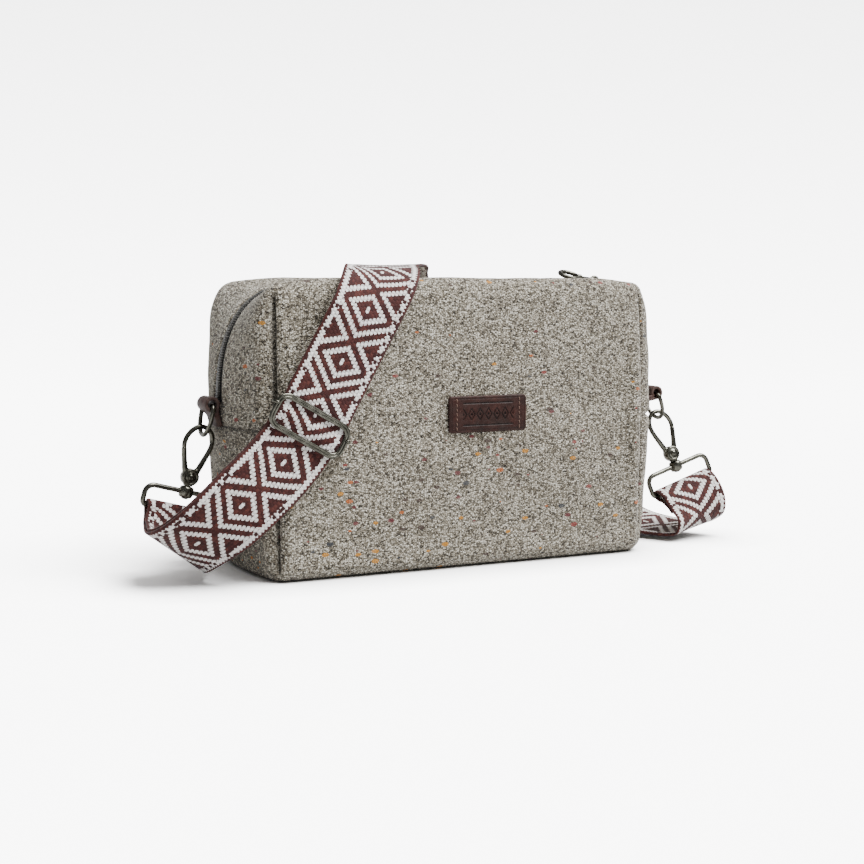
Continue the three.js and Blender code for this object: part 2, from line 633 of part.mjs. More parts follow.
add("tweed_shell", tweedShell(), "tweed");
add("foam_padding", foamPadding(), "foam");
add("lining", lining(), "lining");
add("base_board", baseBoard(), "board");
add("zipper_tape_front", zipTape(-1), "tape");
add("zipper_tape_rear", zipTape(1), "tape");
add("zipper_teeth_front", zipTeeth(-1), "teeth");
add("zipper_teeth_rear", zipTeeth(1), "teeth");
add("zipper_stop_left", zipStop(-1), "metal");
add("zipper_stop_right", zipStop(1), "metal");
add("zipper_slider", zipSlider(), "metal");
add("zipper_pull", zipPull(), "metal");
add("label_patch", labelPatch(), "leather");

for (const [side, end] of [["left", LEFT], ["right", RIGHT]]) {
  add("leather_loop_" + side, leatherLoop(end), "leather");
  add("d_ring_" + side, dRing(end), "metal");
  const hardware = new THREE.Group();
  hardware.applyMatrix4(hardwareFrame(end));
  bag.add(hardware);
  add("bail_" + side, bail(end), "metal", hardware);
  add("hook_body_" + side, hookBody(), "metal", hardware);
  add("hook_gate_" + side, hookGate(), "metal", hardware);
  add("gate_rivet_" + side, gateRivet(), "metal", hardware);
  add("gate_spring_" + side, gateSpring(), "metal", hardware);
  add("swivel_post_" + side, swivelPost(), "metal", hardware);
}

add("strap_webbing", strapWebbing(), "webbing");

const adjuster = new THREE.Group();
adjuster.applyMatrix4(adjusterMatrix());
bag.add(adjuster);
add("adjuster_frame", adjusterFrame(), "metal", adjuster);
add("adjuster_bar", adjusterBar(), "metal", adjuster);
add("strap_return_end", strapReturnEnd(), "webbing", adjuster);

export default bag;
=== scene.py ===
"""A small zip-top tweed cross-body bag with a jacquard webbing strap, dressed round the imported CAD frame.

Lengths are metres in the row frame: +X along the zip, +Y to the rear, +Z up. mm() turns millimetres
into metres, so that sizes read as they would on a pattern sheet.
"""
import json
import math

import bpy
import numpy as np
from mathutils import Matrix, Vector, noise


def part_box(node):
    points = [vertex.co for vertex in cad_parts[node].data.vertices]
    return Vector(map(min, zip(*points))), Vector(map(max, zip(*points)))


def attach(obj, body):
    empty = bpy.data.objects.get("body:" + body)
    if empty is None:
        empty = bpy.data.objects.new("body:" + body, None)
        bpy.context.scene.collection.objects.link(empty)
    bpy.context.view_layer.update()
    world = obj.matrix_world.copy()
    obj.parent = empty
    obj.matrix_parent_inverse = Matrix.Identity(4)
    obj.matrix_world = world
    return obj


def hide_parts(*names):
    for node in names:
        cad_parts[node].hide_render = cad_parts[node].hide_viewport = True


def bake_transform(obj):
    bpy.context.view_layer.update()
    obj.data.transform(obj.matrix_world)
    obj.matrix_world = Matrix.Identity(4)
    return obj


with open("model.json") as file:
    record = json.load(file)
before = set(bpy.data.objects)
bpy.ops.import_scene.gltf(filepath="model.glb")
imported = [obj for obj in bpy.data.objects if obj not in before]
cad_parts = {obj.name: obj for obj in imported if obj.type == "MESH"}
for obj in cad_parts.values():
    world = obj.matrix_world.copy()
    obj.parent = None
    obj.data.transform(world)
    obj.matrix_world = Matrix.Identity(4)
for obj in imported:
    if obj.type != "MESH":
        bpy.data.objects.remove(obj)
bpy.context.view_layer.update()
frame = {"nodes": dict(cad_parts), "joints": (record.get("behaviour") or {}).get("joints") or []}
JOINTS = {j["name"]: j for j in frame["joints"]}
SIDES = ("left", "right")


def mm(*values):
    """Millimetres to metres: one number, or an array of several."""
    return values[0] * 0.001 if len(values) == 1 else np.array(values, float) * 0.001


def node_box(name):
    low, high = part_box(name)
    return np.array(low), np.array(high)


def smoothstep(low, high, value):
    t = np.clip((value - low) / (high - low), 0, 1)
    return t * t * (3 - 2 * t)


# ---------------------------------------------------------------- mesh building
def new_object(name, verts, faces, material=None, smooth=True):
    mesh = bpy.data.meshes.new(name)
    mesh.from_pydata([tuple(v) for v in verts], [], [tuple(f) for f in faces])
    mesh.update()
    mesh.polygons.foreach_set("use_smooth", [smooth] * len(mesh.polygons))
    made = bpy.data.objects.new(name, mesh)
    bpy.context.scene.collection.objects.link(made)
    if material:
        mesh.materials.append(material)
    return made


def grid_faces(rows, columns, close_rows=False, close_columns=False, start=0):
    """Quads of a rows x columns sheet of vertices; a closed direction joins its last line to its first."""
    last_row = rows if close_rows else rows - 1
    last_column = columns if close_columns else columns - 1
    faces = []
    for i in range(last_row):
        for j in range(last_column):
            a = i * columns + j
            b = i * columns + (j + 1) % columns
            c = ((i + 1) % rows) * columns + (j + 1) % columns
            d = ((i + 1) % rows) * columns + j
            faces.append((start + a, start + b, start + c, start + d))
    return faces


def joined(name, pieces, material, smooth=True):
    """One object from several (verts, faces) pairs."""
    verts, faces = [], []
    for part_verts, part_faces in pieces:
        base = len(verts)
        verts.extend(tuple(v) for v in part_verts)
        faces.extend(tuple(base + i for i in f) for f in part_faces)
    return new_object(name, verts, faces, material, smooth)


def spline(points, count, closed=False):
    """Evenly spaced points on a Catmull-Rom curve through the given points."""
    points = np.array(points, float)
    if closed:
        padded = np.vstack([points[-1], points, points[0], points[1]])
    else:
        padded = np.vstack([2 * points[0] - points[1], points, 2 * points[-1] - points[-2]])
    fine = []
    for p0, p1, p2, p3 in zip(padded, padded[1:], padded[2:], padded[3:]):
        for t in np.linspace(0, 1, 24, endpoint=False):
            fine.append(0.5 * (2 * p1 + (p2 - p0) * t + (2 * p0 - 5 * p1 + 4 * p2 - p3) * t * t
                               + (3 * p1 - p0 - 3 * p2 + p3) * t ** 3))
    fine.append(points[0] if closed else points[-1])
    return resampled(np.array(fine), count, closed)


def resampled(points, count, closed=False):
    """The same line with evenly spaced points; a closed line's last point isn't repeated."""
    gone = np.concatenate([[0], np.cumsum(np.linalg.norm(np.diff(points, axis=0), axis=1))])
    places = np.linspace(0, gone[-1], count + 1)[:-1] if closed else np.linspace(0, gone[-1], count)
    return np.stack([np.interp(places, gone, points[:, k]) for k in range(points.shape[1])], axis=1)


def unit(v):
    v = np.array(v, float)
    return v / np.linalg.norm(v, axis=-1, keepdims=True)


def turned_frames(points, closed):
    """Two normals at each point of a line, carried along it without twisting."""
    if closed:
        tangents = unit(np.roll(points, -1, 0) - np.roll(points, 1, 0))
    else:
        tangents = unit(np.gradient(points, axis=0))
    first = np.cross(tangents[0], [0, 0, 1])
    if np.linalg.norm(first) < 0.1:
        first = np.cross(tangents[0], [0, 1, 0])
    normals = [unit(first)]
    for t in tangents[1:]:
        n = normals[-1] - t * (normals[-1] @ t)
        normals.append(unit(n))
    normals = np.array(normals)
    return tangents, normals, np.cross(tangents, normals)


def tube(points, radius, closed=False, sides=14):
    """(verts, faces) of a round wire along points; an open wire ends in small domes."""
    points = np.array(points, float)
    tangents, normals, binormals = turned_frames(points, closed)
    radii = np.broadcast_to(radius, len(points)).astype(float)
    if not closed:
        dome = [(0.98, 0.2), (0.8, 0.6), (0.4, 0.92)]
        first = [points[0] - tangents[0] * radii[0] * out for share, out in reversed(dome)]
        last = [points[-1] + tangents[-1] * radii[-1] * out for share, out in dome]
        shares = [share for share, out in dome]
        points = np.vstack([first, points, last])
        radii = np.concatenate([radii[0] * np.array(shares[::-1]), radii, radii[-1] * np.array(shares)])
        normals = np.vstack([normals[:1].repeat(3, 0), normals, normals[-1:].repeat(3, 0)])
        binormals = np.vstack([binormals[:1].repeat(3, 0), binormals, binormals[-1:].repeat(3, 0)])
    angles = np.arange(sides) * 2 * np.pi / sides
    ring = normals[:, None] * np.cos(angles)[None, :, None] + binormals[:, None] * np.sin(angles)[None, :, None]
    verts = (points[:, None] + ring * radii[:, None, None]).reshape(-1, 3)
    faces = grid_faces(len(points), sides, close_rows=closed, close_columns=True)
    if not closed:
        faces.append(tuple(range(sides))[::-1])
        faces.append(tuple(range((len(points) - 1) * sides, len(points) * sides)))
    return verts, faces


def lathe(profile, segments, place):
    """(verts, faces) of a turned shape: profile is (radius, height) from the axis back to the axis."""
    verts = []
    for r, h in profile[1:-1]:
        for k in range(segments):
            angle = 2 * np.pi * k / segments
            verts.append(place(r * np.cos(angle), r * np.sin(angle), h))
    rings = len(profile) - 2
    faces = grid_faces(rings, segments, close_columns=True)
    start, end = len(verts), len(verts) + 1
    verts.append(place(0, 0, profile[0][1]))
    verts.append(place(0, 0, profile[-1][1]))
    for k in range(segments):
        after = (k + 1) % segments
        faces.append((start, after, k))
        faces.append((end, (rings - 1) * segments + k, (rings - 1) * segments + after))
    return verts, faces


def rounded_rectangle(half_x, half_y, corner, corner_low=None, steps=8):
    """Corner points of a rounded rectangle, anticlockwise from the right side."""
    corner_low = corner if corner_low is None else corner_low
    centres = [(half_x - corner, half_y - corner, corner, 0), (corner - half_x, half_y - corner, corner, 90),
               (corner_low - half_x, corner_low - half_y, corner_low, 180),
               (half_x - corner_low, corner_low - half_y, corner_low, 270)]
    points = []
    for x, y, r, start in centres:
        for k in range(steps + 1):
            angle = math.radians(start + 90 * k / steps)
            points.append((x + r * math.cos(angle), y + r * math.sin(angle)))
    return np.array(points)


def slab(outline, thickness, bevel, place):
    """(verts, faces) of a flat plate with softened rims: outline is 2D, place(x, y, h) puts it in space."""
    centre = outline.mean(axis=0)
    inward = unit(outline - centre)
    layers = [(bevel, 0), (bevel * 0.3, bevel * 0.3), (0, bevel), (0, thickness - bevel),
              (bevel * 0.3, thickness - bevel * 0.3), (bevel, thickness)]
    verts = [place(*(p - n * inset), h) for inset, h in layers for p, n in zip(outline, inward)]
    count = len(outline)
    faces = grid_faces(len(layers), count, close_columns=True)
    faces.append(tuple(range(count))[::-1])
    faces.append(tuple(range((len(layers) - 1) * count, len(layers) * count)))
    return verts, faces


# ---------------------------------------------------------------- node materials
class Shader:
    """A small helper that wires a Principled material, one call for each node."""

    def __init__(self, name):
        self.material = bpy.data.materials.new(name)
        self.material.use_nodes = True
        self.tree = self.material.node_tree
        self.principled = self.tree.nodes["Principled BSDF"]

    def node(self, kind, inputs=None, **settings):
        made = self.tree.nodes.new(kind)
        for key, value in settings.items():
            setattr(made, key, value)
        for key, value in (inputs or {}).items():
            self.feed(made.inputs[key], value)
        return made

    def feed(self, socket, value):
        if isinstance(value, bpy.types.NodeSocket):
            self.tree.links.new(value, socket)
        else:
            socket.default_value = value

    def math(self, operation, a, b=0.0, c=0.0, clamp=False):
        made = self.node("ShaderNodeMath", operation=operation, use_clamp=clamp)
        for socket, value in zip(made.inputs, (a, b, c)):
            self.feed(socket, value)
        return made.outputs[0]

    def above(self, value, edge):
        return self.math("GREATER_THAN", value, edge)

    def between(self, value, low, high):
        return self.math("MULTIPLY", self.above(value, low), self.math("LESS_THAN", value, high))

    def mix(self, factor, a, b, blend="MIX"):
        made = self.node("ShaderNodeMix", data_type="RGBA", blend_type=blend)
        self.feed(made.inputs[0], factor)
        self.feed(made.inputs[6], a)
        self.feed(made.inputs[7], b)
        return made.outputs[2]

    def ramp(self, value, stops, interpolation="LINEAR"):
        made = self.node("ShaderNodeValToRGB", {"Fac": value})
        made.color_ramp.interpolation = interpolation
        elements = made.color_ramp.elements
        while len(elements) < len(stops):
            elements.new(0.5)
        for element, (place, colour) in zip(elements, stops):
            element.position = place
            element.color = colour if len(colour) == 4 else (*colour, 1)
        return made.outputs["Color"]

    def object_coords(self, scale=(1, 1, 1)):
        coords = self.node("ShaderNodeTexCoord").outputs["Object"]
        return self.node("ShaderNodeMapping", {"Vector": coords, "Scale": scale}).outputs[0]

    def noise(self, vector, scale, detail=2.0, roughness=0.5, output="Fac"):
        made = self.node("ShaderNodeTexNoise", {"Vector": vector, "Scale": scale, "Detail": detail,
                                                "Roughness": roughness})
        return made.outputs[output]

    def voronoi(self, vector, scale, output="Color", **settings):
        return self.node("ShaderNodeTexVoronoi", {"Vector": vector, "Scale": scale}, **settings).outputs[output]

    def bump(self, height, distance, strength=1.0, below=None):
        made = self.node("ShaderNodeBump", {"Height": height, "Distance": distance, "Strength": strength})
        if below is not None:
            self.feed(made.inputs["Normal"], below)
        return made.outputs[0]

    def finish(self, colour, roughness, normal=None, **extra):
        self.feed(self.principled.inputs["Base Color"], colour)
        self.feed(self.principled.inputs["Roughness"], roughness)
        if normal is not None:
            self.feed(self.principled.inputs["Normal"], normal)
        for key, value in extra.items():
            self.feed(self.principled.inputs[key.replace("_", " ")], value)
        return self.material


def rgb(red, green, blue):
    """A display colour (0 to 255) as the linear values that shaders use."""
    return tuple((c / 255 / 12.92) if c < 11 else ((c / 255 + 0.055) / 1.055) ** 2.4
                 for c in (red, green, blue)) + (1.0,)


YARN_SCALE = 1050  # yarn loops are about 1 mm
SLUB_SCALE = 150


def tweed_material():
    """Rows of cream, grey and brown yarn loops with sparse coloured slubs, from cells of solid space.

    The mesh's "seam" attribute is 1 in the sewn creases and up to 0.8 in the zip channel, where the colour is
    multiplied darker as painted shade.
    """
    s = Shader("tweed")
    place = s.object_coords()
    wobble = s.node("ShaderNodeVectorMath", {0: s.noise(place, 300, 2, 0.6, "Color"), 1: (0.0009,) * 3},
                    operation="MULTIPLY").outputs[0]
    coords = s.node("ShaderNodeVectorMath", {0: place, 1: wobble}, operation="ADD").outputs[0]
    rows = s.node("ShaderNodeMapping", {"Vector": coords, "Scale": (0.88, 0.88, 1.15)}).outputs[0]
    loop = s.node("ShaderNodeTexVoronoi", {"Vector": rows, "Scale": YARN_SCALE, "Randomness": 0.75})
    yarn = s.node("ShaderNodeSeparateColor", {"Color": loop.outputs["Color"]}).outputs["Red"]
    fine = s.node("ShaderNodeSeparateColor", {"Color": s.voronoi(rows, 2.1 * YARN_SCALE)}).outputs["Green"]
    tone = s.math("ADD", s.math("MULTIPLY", yarn, 0.5), s.math("MULTIPLY", fine, 0.5))
    base = s.ramp(tone, [(0.2, rgb(40, 33, 26)), (0.34, rgb(104, 95, 80)), (0.49, rgb(172, 163, 144)),
                         (0.63, rgb(230, 222, 204)), (0.76, rgb(255, 252, 240))])
    # Painted shade: each yarn loop's colour is multiplied darker towards its rim, in place of the shadow in the gaps
    # between loops.
    loop_gap_shade = s.ramp(loop.outputs["Distance"], [(0.3, (1, 1, 1)), (0.58, (0.3, 0.28, 0.25))])
    base = s.mix(0.9, base, loop_gap_shade, "MULTIPLY")
    cloudy = s.noise(place, 30, 3, 0.6)
    base = s.mix(s.math("MULTIPLY", cloudy, 0.2), base, rgb(156, 145, 127), "MULTIPLY")
    slub_space = s.node("ShaderNodeMapping", {"Vector": coords, "Location": (0.0, 0.0035, 0.002),
                                              "Scale": (0.66, 0.66, 1.2)}).outputs[0]
    distance = s.voronoi(slub_space, SLUB_SCALE, "Distance")
    pick = s.node("ShaderNodeSeparateColor", {"Color": s.voronoi(slub_space, SLUB_SCALE)})
    chosen = s.above(pick.outputs["Green"], 0.42)
    size = s.math("MULTIPLY_ADD", pick.outputs["Blue"], 0.13, 0.1)
    slub = s.math("MULTIPLY", s.math("LESS_THAN", distance, size), chosen)
    slub_colour = s.ramp(pick.outputs["Red"], [
        (0.0, rgb(96, 32, 40)), (0.25, rgb(190, 128, 30)), (0.45, rgb(128, 46, 42)), (0.58, rgb(46, 50, 58)),
        (0.72, rgb(176, 92, 36)), (0.82, rgb(60, 42, 36))], "CONSTANT")
    colour = s.mix(s.math("MULTIPLY", slub, 0.85), base, slub_colour)
    # Painted shade: where the "seam" attribute is high, the colour is multiplied towards dark brown in place of the
    # shadow in creases and the zip channel.
    seam = s.node("ShaderNodeAttribute", attribute_name="seam").outputs["Fac"]
    colour = s.mix(s.math("MULTIPLY", seam, 0.62), colour, rgb(58, 52, 46), "MULTIPLY")
    bump = s.bump(s.math("SUBTRACT", 1.0, loop.outputs["Distance"]), mm(0.7), 1.0)
    bump = s.bump(s.noise(coords, 2600, 2, 0.7), mm(0.25), 0.6, bump)
    return s.finish(colour, 0.95, bump, Sheen_Weight=0.2, Sheen_Roughness=0.6, Specular_IOR_Level=0.12)



WEB = {"column": 1.86, "stitch": 2.15, "period": 30.5, "across": 20.5, "tooth": 1.5}


def webbing_material():
    """Jacquard of diamonds, chevrons and side triangles, drawn in saw-toothed columns of stitches.

    The strap's UV map holds millimetres: U along the strap, V across it from its middle line. Each line of
    the pattern is a range of d, the diamond-shaped distance from the diamond before or after it.
    """
    s = Shader("webbing")
    uv = s.node("ShaderNodeUVMap", uv_map="strap").outputs[0]
    split = s.node("ShaderNodeSeparateXYZ", {"Vector": uv})
    along, across = split.outputs["X"], split.outputs["Y"]
    place = s.math("DIVIDE", across, WEB["column"])
    column = s.math("FLOOR", s.math("ADD", place, 0.5))
    lane = s.math("ABSOLUTE", s.math("SUBTRACT", place, column))
    odd = s.math("MODULO", s.math("ABSOLUTE", column), 2)
    row_place = s.math("DIVIDE", s.math("MULTIPLY_ADD", odd, WEB["stitch"] / 2, along), WEB["stitch"])
    row = s.math("FLOOR", row_place)
    sideways = s.math("ABSOLUTE", s.math("MULTIPLY", column, WEB["column"]))
    half = WEB["period"] / 2
    past = s.math("WRAP", along, WEB["period"], 0.0)
    edge_share = s.math("DIVIDE", sideways, WEB["across"])
    d_before = s.math("ADD", s.math("DIVIDE", past, half), edge_share)
    d_after = s.math("ADD", s.math("DIVIDE", s.math("SUBTRACT", WEB["period"], past), half), edge_share)
    # Every line swells in the middle of each column, which cuts its rims into teeth.
    tooth = s.math("MULTIPLY", s.math("SUBTRACT", 0.25, lane), WEB["tooth"] / half)

    def line(d, low, high):
        above = s.above(s.math("ADD", d, tooth), low)
        below = s.math("LESS_THAN", s.math("SUBTRACT", d, tooth), high)
        return s.math("MULTIPLY", above, below)

    ring = s.math("MAXIMUM", line(d_before, 0.405, 0.605), line(d_after, 0.405, 0.605))
    chevron = line(d_before, 0.86, 1.05)
    arms = s.math("MAXIMUM", line(d_before, 1.32, 1.51), line(d_after, 0.905, 1.1))
    outside = s.math("MULTIPLY", s.above(s.math("ADD", d_before, tooth), 1.32),
                     s.above(s.math("ADD", d_after, tooth), 0.905))
    triangle = s.math("MULTIPLY", arms, outside)
    centre = s.math("MAXIMUM", s.math("LESS_THAN", s.math("SUBTRACT", d_before, tooth), 0.11),
                    s.math("LESS_THAN", s.math("SUBTRACT", d_after, tooth), 0.11))
    dot = s.math("MULTIPLY", centre, s.math("LESS_THAN", sideways, 0.5))
    motif = s.math("MAXIMUM", s.math("MAXIMUM", ring, chevron), s.math("MAXIMUM", triangle, dot))
    cell = s.node("ShaderNodeCombineXYZ", {"X": column, "Y": row})
    chance = s.node("ShaderNodeTexWhiteNoise", {"Vector": cell.outputs[0]}, noise_dimensions="2D").outputs["Value"]
    from_border = s.math("ABSOLUTE", s.math("SUBTRACT", s.math("ABSOLUTE", across), 16.9))
    wave = s.math("SINE", s.math("MULTIPLY", along, 2 * math.pi / WEB["stitch"]))
    in_border = s.math("LESS_THAN", from_border, s.math("MULTIPLY_ADD", wave, 0.45, 1.35))
    border = s.math("MULTIPLY", in_border, s.above(chance, 0.16))
    middle = s.math("LESS_THAN", s.math("ABSOLUTE", across), 15.6)
    white = s.math("MAXIMUM", s.math("MULTIPLY", motif, middle), border)
    fleck = s.noise(uv, 1.1, 3, 0.7)
    brown = s.ramp(s.math("MULTIPLY_ADD", chance, 0.3, s.math("MULTIPLY", fleck, 0.7)),
                   [(0.2, rgb(38, 17, 17)), (0.5, rgb(66, 30, 28)), (0.85, rgb(106, 58, 50))])
    cream = s.ramp(s.math("MULTIPLY_ADD", chance, 0.4, s.math("MULTIPLY", fleck, 0.6)),
                   [(0.2, rgb(226, 218, 212)), (0.6, rgb(252, 249, 246))])
    colour = s.mix(white, brown, cream)
    step = s.math("SUBTRACT", row_place, s.math("ADD", row, 0.5))
    round_lane = s.math("SUBTRACT", 1.0, s.math("POWER", s.math("MULTIPLY", lane, 2.0), 2.4))
    round_step = s.math("SUBTRACT", 1.0, s.math("POWER", s.math("ABSOLUTE", s.math("MULTIPLY", step, 2.0)), 2.6))
    stitch = s.math("MULTIPLY", round_lane, round_step)
    height = s.math("MULTIPLY", stitch, s.math("MULTIPLY_ADD", white, 0.6, 0.4))
    shade = s.math("MULTIPLY_ADD", s.math("POWER", stitch, 0.5), 0.36, 0.7, clamp=True)
    grey = s.node("ShaderNodeCombineColor", {"Red": shade, "Green": shade, "Blue": shade}).outputs[0]
    colour = s.mix(0.85, colour, grey, "MULTIPLY")
    bump = s.bump(height, mm(0.45), 0.9)
    return s.finish(colour, 0.85, bump, Sheen_Weight=0.15, Specular_IOR_Level=0.2)


def metal_material():
    """Antique gunmetal: greenish grey with darker patches, fine scratches and a soft polish."""
    s = Shader("hardware")
    coords = s.object_coords()
    patches = s.noise(coords, 180, 4, 0.6)
    scratches = s.noise(s.object_coords((1, 1, 6)), 1500, 3, 0.7)
    colour = s.ramp(patches, [(0.3, rgb(70, 69, 62)), (0.55, rgb(108, 107, 98)), (0.8, rgb(148, 147, 136))])
    roughness = s.math("MULTIPLY_ADD", scratches, 0.2, 0.16)
    bump = s.bump(scratches, mm(0.03), 0.35)
    return s.finish(colour, roughness, bump, Metallic=1.0)


def leather_material(name, worn):
    """Dark reddish brown leather with pores; worn is how far its high spots have greyed.

    Where a mesh has the "pressed" attribute, its tooled lines are darker.
    """
    s = Shader(name)
    coords = s.object_coords()
    pores = s.voronoi(coords, 1700, "Distance")
    patches = s.noise(coords, 130, 5, 0.65)
    colour = s.ramp(patches, [(0.3, rgb(26, 9, 6)), (0.55, rgb(44, 15, 10)), (0.8, rgb(66, 28, 19))])
    rubbed = s.math("MULTIPLY", s.math("POWER", s.noise(coords, 320, 4, 0.7), 2.0), worn)
    colour = s.mix(rubbed, colour, rgb(150, 132, 124))
    pressed = s.node("ShaderNodeAttribute", attribute_name="pressed").outputs["Fac"]
    colour = s.mix(s.math("MULTIPLY", pressed, 0.85), colour, rgb(70, 60, 56), "MULTIPLY")
    roughness = s.math("MULTIPLY_ADD", patches, 0.3, 0.36)
    bump = s.bump(pores, mm(0.18), 0.45)
    bump = s.bump(s.noise(coords, 700, 4, 0.6), mm(0.15), 0.35, bump)
    return s.finish(colour, roughness, bump, Specular_IOR_Level=0.2)


def woven_material(name, dark, light, scale, roughness=0.85):
    """A plain fine weave for tape, lining and thread, crossing in two directions."""
    s = Shader(name)
    coords = s.object_coords()
    split = s.node("ShaderNodeSeparateXYZ", {"Vector": coords})
    weft = s.math("SINE", s.math("MULTIPLY", s.math("ADD", split.outputs["X"], split.outputs["Y"]), scale))
    warp = s.math("SINE", s.math("MULTIPLY", s.math("SUBTRACT", split.outputs["Z"], split.outputs["Y"]), scale))
    weave = s.math("MULTIPLY_ADD", s.math("MULTIPLY", weft, warp), 0.5, 0.5)
    mottled = s.math("ADD", s.math("MULTIPLY", weave, 0.6), s.math("MULTIPLY", s.noise(coords, 900, 3), 0.4))
    colour = s.ramp(mottled, [(0.2, dark), (0.8, light)])
    return s.finish(colour, roughness, s.bump(weave, mm(0.12), 0.6))


def teeth_material():
    s = Shader("zip_teeth")
    coords = s.object_coords()
    colour = s.ramp(s.noise(coords, 700, 3), [(0.3, rgb(30, 30, 30)), (0.75, rgb(104, 102, 97))])
    roughness = s.math("MULTIPLY_ADD", s.noise(coords, 400, 2), 0.25, 0.15)
    return s.finish(colour, roughness, s.bump(s.noise(coords, 2500, 2), mm(0.05), 0.3), Specular_IOR_Level=0.8)


def foam_material():
    s = Shader("foam")
    coords = s.object_coords()
    cells = s.voronoi(coords, 900, "Distance")
    colour = s.ramp(cells, [(0.0, rgb(196, 192, 180)), (0.6, rgb(236, 233, 224))])
    return s.finish(colour, 0.95, s.bump(cells, mm(0.3), 0.7))


def board_material():
    s = Shader("board")
    fibres = s.noise(s.object_coords((1, 6, 1)), 500, 5, 0.7)
    colour = s.ramp(fibres, [(0.3, rgb(96, 90, 80)), (0.75, rgb(140, 132, 120))])
    return s.finish(colour, 0.8, s.bump(fibres, mm(0.1), 0.4))


MATERIALS = {
    "tweed": tweed_material(),
    "webbing": webbing_material(),
    "metal": metal_material(),
    "leather": leather_material("leather", 0.15),
    "worn_leather": leather_material("worn_leather", 0.7),
    "tape": woven_material("zip_tape", rgb(24, 24, 26), rgb(58, 58, 60), 5200),
    "lining": woven_material("lining", rgb(36, 36, 40), rgb(66, 66, 72), 3600),
    "thread": woven_material("thread", rgb(84, 58, 48), rgb(136, 108, 94), 9000, 0.6),
    "dark_thread": woven_material("dark_thread", rgb(70, 66, 58), rgb(124, 118, 106), 9000, 0.7),
    "teeth": teeth_material(),
    "foam": foam_material(),
    "board": board_material(),
}


def dress(node, material):
    """Gives a CAD node that stays visible its finish."""
    slots = frame["nodes"][node].data.materials
    slots.clear()
    slots.append(MATERIALS[material])


# ---------------------------------------------------------------- bag body
SHELL_LOW, SHELL_HIGH = node_box("tweed_shell")
BODY_HALF_Y = mm(46)
HEIGHT = SHELL_HIGH[2]  # the zip's level along the flat of the top
CREST = mm(3.8)  # how far the puffy halves stand above the zip
CORNER_X = mm(114.2)  # the sewn corner's distance from the middle
END_BULGE = mm(14.8)
SEAM_Z = node_box("leather_loop_left")[0][2]
ZIP_BOTTOM = node_box("zipper_stop_left")[0][2]
# Each end's turn from the top down the end, measured at the zip: run along X, drop along Z, squareness.
LEFT_TURN = (mm(46), mm(62), 2.4)
RIGHT_TURN = (mm(29), mm(62), 2.8)
CORNER_RUN = mm(5.5)  # the same turn at the front and rear corners
CORNER_DROP = mm(12)
TURN_FALL = 2.0  # how fast the turn tightens away from the zip
FULLNESS = mm(2.0)  # how far the front and rear panels swell out
LEAN = mm(2.6)  # how far their top edges lean in
FRONT_TURN = mm(11)
BOTTOM_TURN = mm(8)


def lines(low, high, stops, pitch):
    """Grid lines from low to high about pitch apart, pinched to a third of that at each stop."""
    fine = np.linspace(low, high, 4000)
    density = np.ones_like(fine)
    for stop, reach in stops:
        density += 2.4 * np.exp(-((fine - stop) / reach) ** 2)
    total = np.concatenate([[0], np.cumsum((density[1:] + density[:-1]) / 2 * np.diff(fine))])
    count = int(total[-1] / pitch) + 1
    return np.interp(np.linspace(0, total[-1], count), total, fine)


def box_grid(xs, ys, zs):
    """Vertices and quads on the surface of a box from its grid lines, shared along its edges."""
    index, places, faces = {}, [], []

    def vertex(i, j, k):
        key = (i, j, k)
        if key not in index:
            index[key] = len(places)
            places.append((xs[i], ys[j], zs[k]))
        return index[key]

    nx, ny, nz = len(xs) - 1, len(ys) - 1, len(zs) - 1
    for i in range(nx):
        for j in range(ny):
            faces.append([vertex(i, j, 0), vertex(i, j + 1, 0), vertex(i + 1, j + 1, 0), vertex(i + 1, j, 0)])
            faces.append([vertex(i, j, nz), vertex(i + 1, j, nz), vertex(i + 1, j + 1, nz), vertex(i, j + 1, nz)])
        for k in range(nz):
            faces.append([vertex(i, 0, k), vertex(i + 1, 0, k), vertex(i + 1, 0, k + 1), vertex(i, 0, k + 1)])
            faces.append([vertex(i, ny, k), vertex(i, ny, k + 1), vertex(i + 1, ny, k + 1), vertex(i + 1, ny, k)])
    for j in range(ny):
        for k in range(nz):
            faces.append([vertex(0, j, k), vertex(0, j, k + 1), vertex(0, j + 1, k + 1), vertex(0, j + 1, k)])
            faces.append([vertex(nx, j, k), vertex(nx, j + 1, k), vertex(nx, j + 1, k + 1), vertex(nx, j, k + 1)])
    return np.array(places), faces


def end_share(y):
    """1 on the bag's middle plane, falling to 0 at the sewn corners."""
    return np.clip(1 - (y / BODY_HALF_Y) ** 2, 0, 1) ** 0.85


def end_reach(y, z):
    """How far the bag's end stands from its middle at a width and height."""
    low_fade = 0.25 + 0.75 * smoothstep(-0.01, 0.085, z)
    return CORNER_X + END_BULGE * end_share(y) * low_fade


